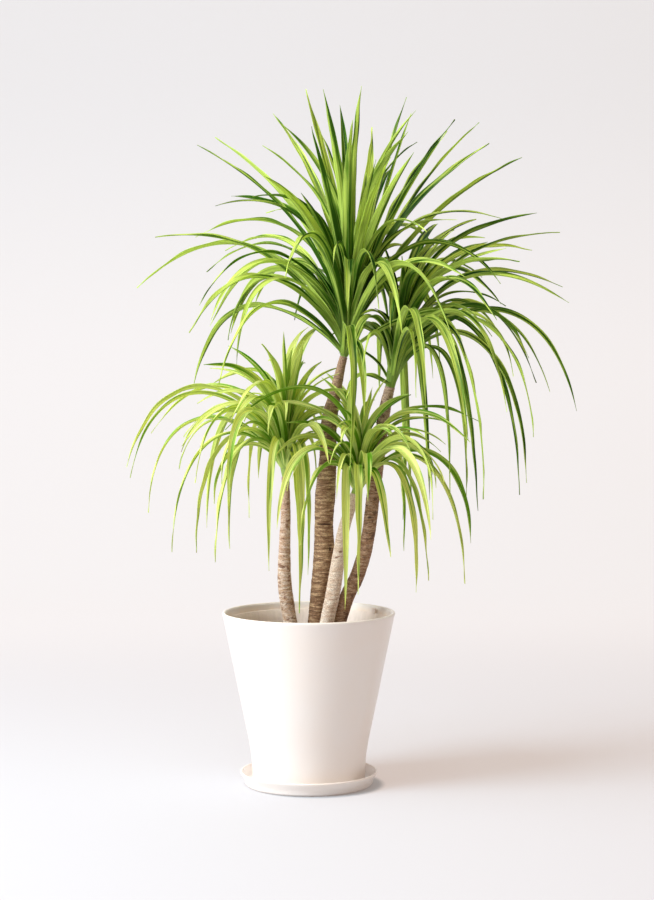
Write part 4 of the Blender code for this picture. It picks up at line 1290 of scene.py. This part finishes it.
def blade(points, stem_radius, width, twist, light, leaf, draw):
    """One closed blade: corners, faces, and the strap, fibre and below values of its corners."""
    x = np.linspace(0.0, 1.0, leaf.rows + 1)
    t = EVEN_ROWS * x + (1.0 - EVEN_ROWS) * (0.5 - 0.5 * np.cos(math.pi * x))
    place, side, normal = curve_rows(points, t, twist)
    run = np.concatenate([[0.0], np.cumsum(np.linalg.norm(np.diff(place, axis=0), axis=1))])
    clasp = np.exp(-(run / leaf.sheath) ** 2)
    start = points[1] - points[0]
    outward = start.xy.normalized()
    stand = stem_radius * (SEAT_PROUD - SEAT_DEPTH) * np.exp(-(run / (1.6 * leaf.sheath)) ** 2)
    place = place + stand[:, None] * np.array((*outward, 0.0))
    half = width * (width_share(t, leaf.root_width) + CLASP_WIDER * clasp) / 2
    half = np.maximum(half, LEAST_HALF)
    fold = leaf.root_fold + (leaf.fold - leaf.root_fold) * np.minimum(t / ROOT_FOLD_END, 1.0)
    fold = fold * (1.0 + draw.uniform(-FOLD_VARIES, FOLD_VARIES) * t)
    out, up, across = section(half, fold, clasp, stem_radius)
    turns = run * 2 * math.pi
    wave = draw.uniform(*WAVE_HEIGHTS) * np.sin(
        turns / draw.uniform(*WAVE_LENGTHS) + draw.uniform(0.0, 6.0))
    lopsided = draw.uniform(0.0, LOPSIDED) * np.sin(turns / LOPSIDED_LENGTH + draw.uniform(0.0, 6.0))
    up = up + (wave * np.minimum(4 * t, 1.0))[:, None] * across ** 2
    up = up + lopsided[:, None] * across * np.abs(across)
    body = 0.35 + 0.65 * np.sin(math.pi * np.clip(0.12 + 0.80 * (1 - t), 0.0, 1.0))
    thick = body[:, None] * (leaf.thickness + leaf.midrib * np.exp(-(out / RIB_WIDTH) ** 2))
    top = place[:, None] + side[:, None] * out[:, :, None] + normal[:, None] * up[:, :, None]
    low = top - normal[:, None] * thick[:, :, None]
    rings = np.concatenate([top, low[:, ::-1]], axis=1)
    across = np.concatenate([across, across[::-1]])[None]
    upright = np.interp(math.atan2(start.z, start.xy.length), UPRIGHT_RISES, (0.0, UPRIGHT_DARKER))
    # Leaves heading right are painted darker, as painted shade away from the key light on the left
    own = light + LIGHTNESS_SPREAD * draw.uniform(-0.12, 0.88) - RIGHT_PAINTED_SHADE * outward.x - upright
    seed = draw.uniform(0.0, 50.0)
    # Which half faces the key light on the left, for the painted light and shade of the halves
    sunny = -np.sign(side[leaf.rows // 2][0])
    strap = np.stack(np.broadcast_arrays(across * sunny, t[:, None], own), axis=2)
    fibre = np.stack(np.broadcast_arrays(across * half[:, None], run[:, None], seed), axis=2)
    below = np.zeros(rings.shape[:2])
    below[:, rings.shape[1] // 2:] = 1.0
    return (*skin(rings), strap.reshape(-1, 3), fibre.reshape(-1, 3), below.ravel())


def stem_tip(rows, girth):
    """A green stem tip: corners, faces, and the same values of its corners as a blade's."""
    stem = [Vector((*row.xyz, row[3] * STEM_SLIM)) for row in rows]
    rings, run, _ = tube_rings(smooth_path(stem), STEM_SIDES)
    across = np.broadcast_to(np.linspace(-0.8, 0.8, STEM_SIDES), run.shape)
    none = np.zeros_like(run)
    strap = np.stack([across, none, np.full_like(run, STEM_LIGHTNESS)], axis=2)
    fibre = np.stack([across * girth * math.pi, run, none], axis=2)
    return (*skin(rings), strap.reshape(-1, 3), fibre.reshape(-1, 3), none.ravel())


def leaf_material(name, deep, bright, pale, underside):
    """Satin leaf skin that lets some light through where it is pale."""
    colors = {"Deep": deep, "Bright": bright, "Pale": pale, "Dry": DRY_LEAF, "Underside": underside}
    group = effect_group("strap_leaf", leaf_look, tuple(colors))
    made = material_with(name, group, colors, {"Specular IOR Level": 0.12}, 0.35, 0.0004)
    nodes, graph = made.node_tree.nodes, Graph(made.node_tree)
    effect = next(node for node in nodes if node.type == "GROUP")
    through = graph.mix(1.0, effect.outputs["Color"], THROUGH_LEAF, "MULTIPLY")
    glow = graph.fill(graph.add("ShaderNodeBsdfTranslucent"), {"Color": through})
    both = graph.blend(LEAF_THINNESS, nodes["Principled BSDF"].outputs[0], glow)
    graph.put(nodes["Material Output"].inputs["Surface"], both)
    return made


def make_heads(leaf):
    """The green stem tips with all their strap leaves, one mesh a head."""
    materials = {
        "leaf_green": leaf_material(
            "strap_green", leaf.green, leaf.bright, (0.62, 0.86, 0.22), (0.15, 0.34, 0.020)),
        "leaf_lime": leaf_material(
            "strap_lime", leaf.lime, leaf.yellow, (0.84, 0.98, 0.36), (0.38, 0.58, 0.05)),
    }
    for name, head in HEADS.items():
        rows = stem_rows(head)
        parts = [stem_tip(rows, head["girth"])]
        leaves = find_leaves(name, rows) + fine_leaves(name, rows, leaf.fine)
        for index, (points, girth, draws) in enumerate(leaves):
            parts.append(blade(points, girth, head["width"] * draws["width"], draws["twist"],
                               LIGHTNESS[name], leaf, random.Random(f"{name} blade {index}")))
        starts = np.cumsum([0] + [len(part[0]) for part in parts])
        faces = [tuple(i + start for i in face) for part, start in zip(parts, starts)
                 for face in part[1]]
        verts, strap, fibre, below = (
            np.concatenate([part[k] for part in parts]) for k in (0, 2, 3, 4))
        verts = np.clip(verts, *(np.array(corner) for corner in CAD_BOX))
        piece = mesh_piece(name + "_foliage", verts, faces, materials[SLOTS[name]], SLOTS[name],
                           50.0, strap=strap, fibre=fibre, below=below)
        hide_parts(name)


def paper_material(stage):
    """Pale paper with lamps of its own, dimmed high up as painted falloff and by the saucer as a painted
    contact shadow, and clear from its far side.
    """
    paper = bpy.data.materials.new("paper")
    paper.use_nodes = True
    nodes, graph = paper.node_tree.nodes, Graph(paper.node_tree)
    place = graph.place()
    _, back, up = graph.parts(place)
    away = graph.remap(graph.distance(place, (0.0, 0.0, 0.0)), 2.4, 4.5)
    wall = graph.math("MAXIMUM", graph.remap(back, 0.2, 2.6), away)
    lamps = graph.times(stage.wash, graph.remap(wall, 0.0, 1.0, 1.0, 1.28))
    # Painted contact shadow: the paper's own glow is dimmed round the saucer's foot
    near = graph.remap(graph.distance(place, SHADE_MIDDLE), *SHADE_REACH, SHADE_LEFT, 1.0)
    # Painted shade: the backdrop's glow falls off high up, as the key light's falloff would
    high = graph.remap(up, 0.5, 1.6, 0.0, -0.18 * stage.wash)
    shader = graph.fill(nodes["Principled BSDF"], {
        "Base Color": stage.backdrop, "Roughness": 0.9, "Specular IOR Level": 0.1,
        "Emission Color": graph.mix(wall, PAPER_NEAR, PAPER_FAR),
        "Emission Strength": graph.plus(high, graph.times(lamps, near))})
    behind = graph.add("ShaderNodeNewGeometry").outputs["Backfacing"]
    clear = graph.add("ShaderNodeBsdfTransparent").outputs[0]
    graph.put(nodes["Material Output"].inputs["Surface"], graph.blend(behind, shader, clear))
    return paper


def make_sweep(stage):
    """The sweep of floor and backdrop, bent up behind the plant."""
    turns = [math.pi / 2 * i / SWEEP_STEPS for i in range(SWEEP_STEPS + 1)]
    profile = [(-SWEEP_HALF, 0.0)]
    profile += [(SWEEP_BEND_Y + SWEEP_BEND * math.sin(turn), SWEEP_BEND - SWEEP_BEND * math.cos(turn))
                for turn in turns]
    profile.append((SWEEP_BEND_Y + SWEEP_BEND, SWEEP_TOP))
    verts = [(x, y, z) for x in (-SWEEP_HALF, SWEEP_HALF) for y, z in profile]
    count = len(profile)
    mesh = bpy.data.meshes.new("sweep")
    mesh.from_pydata(verts, [], [(i, i + count, i + count + 1, i + 1) for i in range(count - 1)])
    mesh.shade_smooth()
    mesh.materials.append(paper_material(stage))
    sweep = bpy.data.objects.new("sweep", mesh)
    bpy.context.scene.collection.objects.link(sweep)


def make_world(stage):
    """Even warm light from all round, and a pale tone beyond the sweep's edges."""
    world = bpy.data.worlds.new("studio")
    world.use_nodes = True
    nodes, graph = world.node_tree.nodes, Graph(world.node_tree)
    sky = graph.fill(nodes["Background"], {"Color": SKY, "Strength": stage.sky})
    beyond = graph.fill(graph.add("ShaderNodeBackground"), {"Color": BEYOND})
    seen = graph.add("ShaderNodeLightPath").outputs["Is Camera Ray"]
    graph.put(nodes["World Output"].inputs["Surface"], graph.blend(seen, sky, beyond))
    bpy.context.scene.world = world


def add_light(name, power, place, aim, size, color):
    """A square area light aimed at a height on the plant's axis."""
    data = bpy.data.lights.new(name, "AREA")
    data.size, data.energy, data.color = size, power, color
    lamp = bpy.data.objects.new(name, data)
    bpy.context.scene.collection.objects.link(lamp)
    lamp.location = place
    ray = Vector((0.0, 0.0, aim)) - Vector(place)
    lamp.rotation_euler = ray.to_track_quat("-Z", "Y").to_euler()


def add_camera(stage):
    """The photograph's camera."""
    data = bpy.data.cameras.new("photo_view")
    data.lens = stage.lens
    data.sensor_width = SENSOR
    camera = bpy.data.objects.new("photo_view", data)
    camera.location = CAMERA_PLACE
    camera.rotation_euler = (math.pi / 2 - stage.pitch, 0.0, 0.0)
    bpy.context.scene.collection.objects.link(camera)
    bpy.context.scene.camera = camera
    bpy.context.scene.view_settings.view_transform = "Standard"


def make_stage(stage):
    """The sweep, the world, a soft key from the left, an overhead light and the camera."""
    make_sweep(stage)
    make_world(stage)
    add_light("key", stage.key, **LIGHTS["key"])
    add_light("overhead", stage.overhead, **LIGHTS["overhead"])
    add_camera(stage)


class AddSaucer(bpy.types.Operator):
    """Add the glazed saucer"""
    bl_idname = "dracaena.saucer"
    bl_label = "Saucer"

    def execute(self, context):
        """Builds the saucer."""
        make_saucer(context.scene.dracaena_planter)
        return {"FINISHED"}


class AddPlanter(bpy.types.Operator):
    """Add the glazed planter"""
    bl_idname = "dracaena.planter"
    bl_label = "Planter"

    def execute(self, context):
        """Builds the planter."""
        make_pot(context.scene.dracaena_planter)
        return {"FINISHED"}


class AddNurseryPot(bpy.types.Operator):
    """Add the thin nursery pot and its lifting tab"""
    bl_idname = "dracaena.nursery_pot"
    bl_label = "Nursery Pot"

    def execute(self, context):
        """Builds the nursery pot."""
        make_nursery_pot(context.scene.dracaena_planter)
        return {"FINISHED"}


class AddSoil(bpy.types.Operator):
    """Add the potting mix with its bark and stones"""
    bl_idname = "dracaena.soil"
    bl_label = "Soil"

    def execute(self, context):
        """Builds the soil."""
        make_soil(context.scene.dracaena_soil)
        return {"FINISHED"}


class AddCanes(bpy.types.Operator):
    """Add the four woody canes"""
    bl_idname = "dracaena.canes"
    bl_label = "Canes"

    def execute(self, context):
        """Builds the canes."""
        make_canes(context.scene.dracaena_canes)
        return {"FINISHED"}


class AddHeads(bpy.types.Operator):
    """Add the four leafy heads"""
    bl_idname = "dracaena.heads"
    bl_label = "Leafy Heads"

    def execute(self, context):
        """Builds the heads."""
        make_heads(context.scene.dracaena_leaf)
        return {"FINISHED"}


class AddStage(bpy.types.Operator):
    """Add the sweep, the lights and the camera"""
    bl_idname = "dracaena.stage"
    bl_label = "Stage"

    def execute(self, context):
        """Builds the stage."""
        make_stage(context.scene.dracaena_stage)
        return {"FINISHED"}


SETTINGS = {
    "dracaena_planter": PlanterSettings,
    "dracaena_soil": SoilSettings,
    "dracaena_canes": CaneSettings,
    "dracaena_leaf": LeafSettings,
    "dracaena_stage": StageSettings,
}
OPERATORS = (AddSaucer, AddPlanter, AddNurseryPot, AddSoil, AddCanes, AddHeads, AddStage)


class DracaenaPanel(bpy.types.Panel):
    """The pieces and their settings in the sidebar"""
    bl_idname = "VIEW3D_PT_dracaena"
    bl_label = "Potted Dracaena"
    bl_space_type = "VIEW_3D"
    bl_region_type = "UI"
    bl_category = "Dracaena"

    def draw(self, context):
        """Lists each operator, then each group of settings."""
        for operator in OPERATORS:
            self.layout.operator(operator.bl_idname)
        for name, kind in SETTINGS.items():
            box = self.layout.box()
            box.label(text=kind.__doc__)
            for setting in kind.__annotations__:
                box.prop(getattr(context.scene, name), setting)


def register():
    """Registers the settings, the operators and the panel."""
    for kind in (*SETTINGS.values(), *OPERATORS, DracaenaPanel):
        bpy.utils.register_class(kind)
    for name, kind in SETTINGS.items():
        setattr(bpy.types.Scene, name, bpy.props.PointerProperty(type=kind))


def unregister():
    """Takes all of them away again."""
    for name in SETTINGS:
        delattr(bpy.types.Scene, name)
    for kind in (DracaenaPanel, *reversed(OPERATORS), *reversed(SETTINGS.values())):
        bpy.utils.unregister_class(kind)


def main():
    """Builds the stage and the plant."""
    register()
    bpy.ops.dracaena.stage()
    bpy.ops.dracaena.saucer()
    bpy.ops.dracaena.planter()
    bpy.ops.dracaena.nursery_pot()
    bpy.ops.dracaena.soil()
    bpy.ops.dracaena.canes()
    bpy.ops.dracaena.heads()


if __name__ == "__main__":
    main()
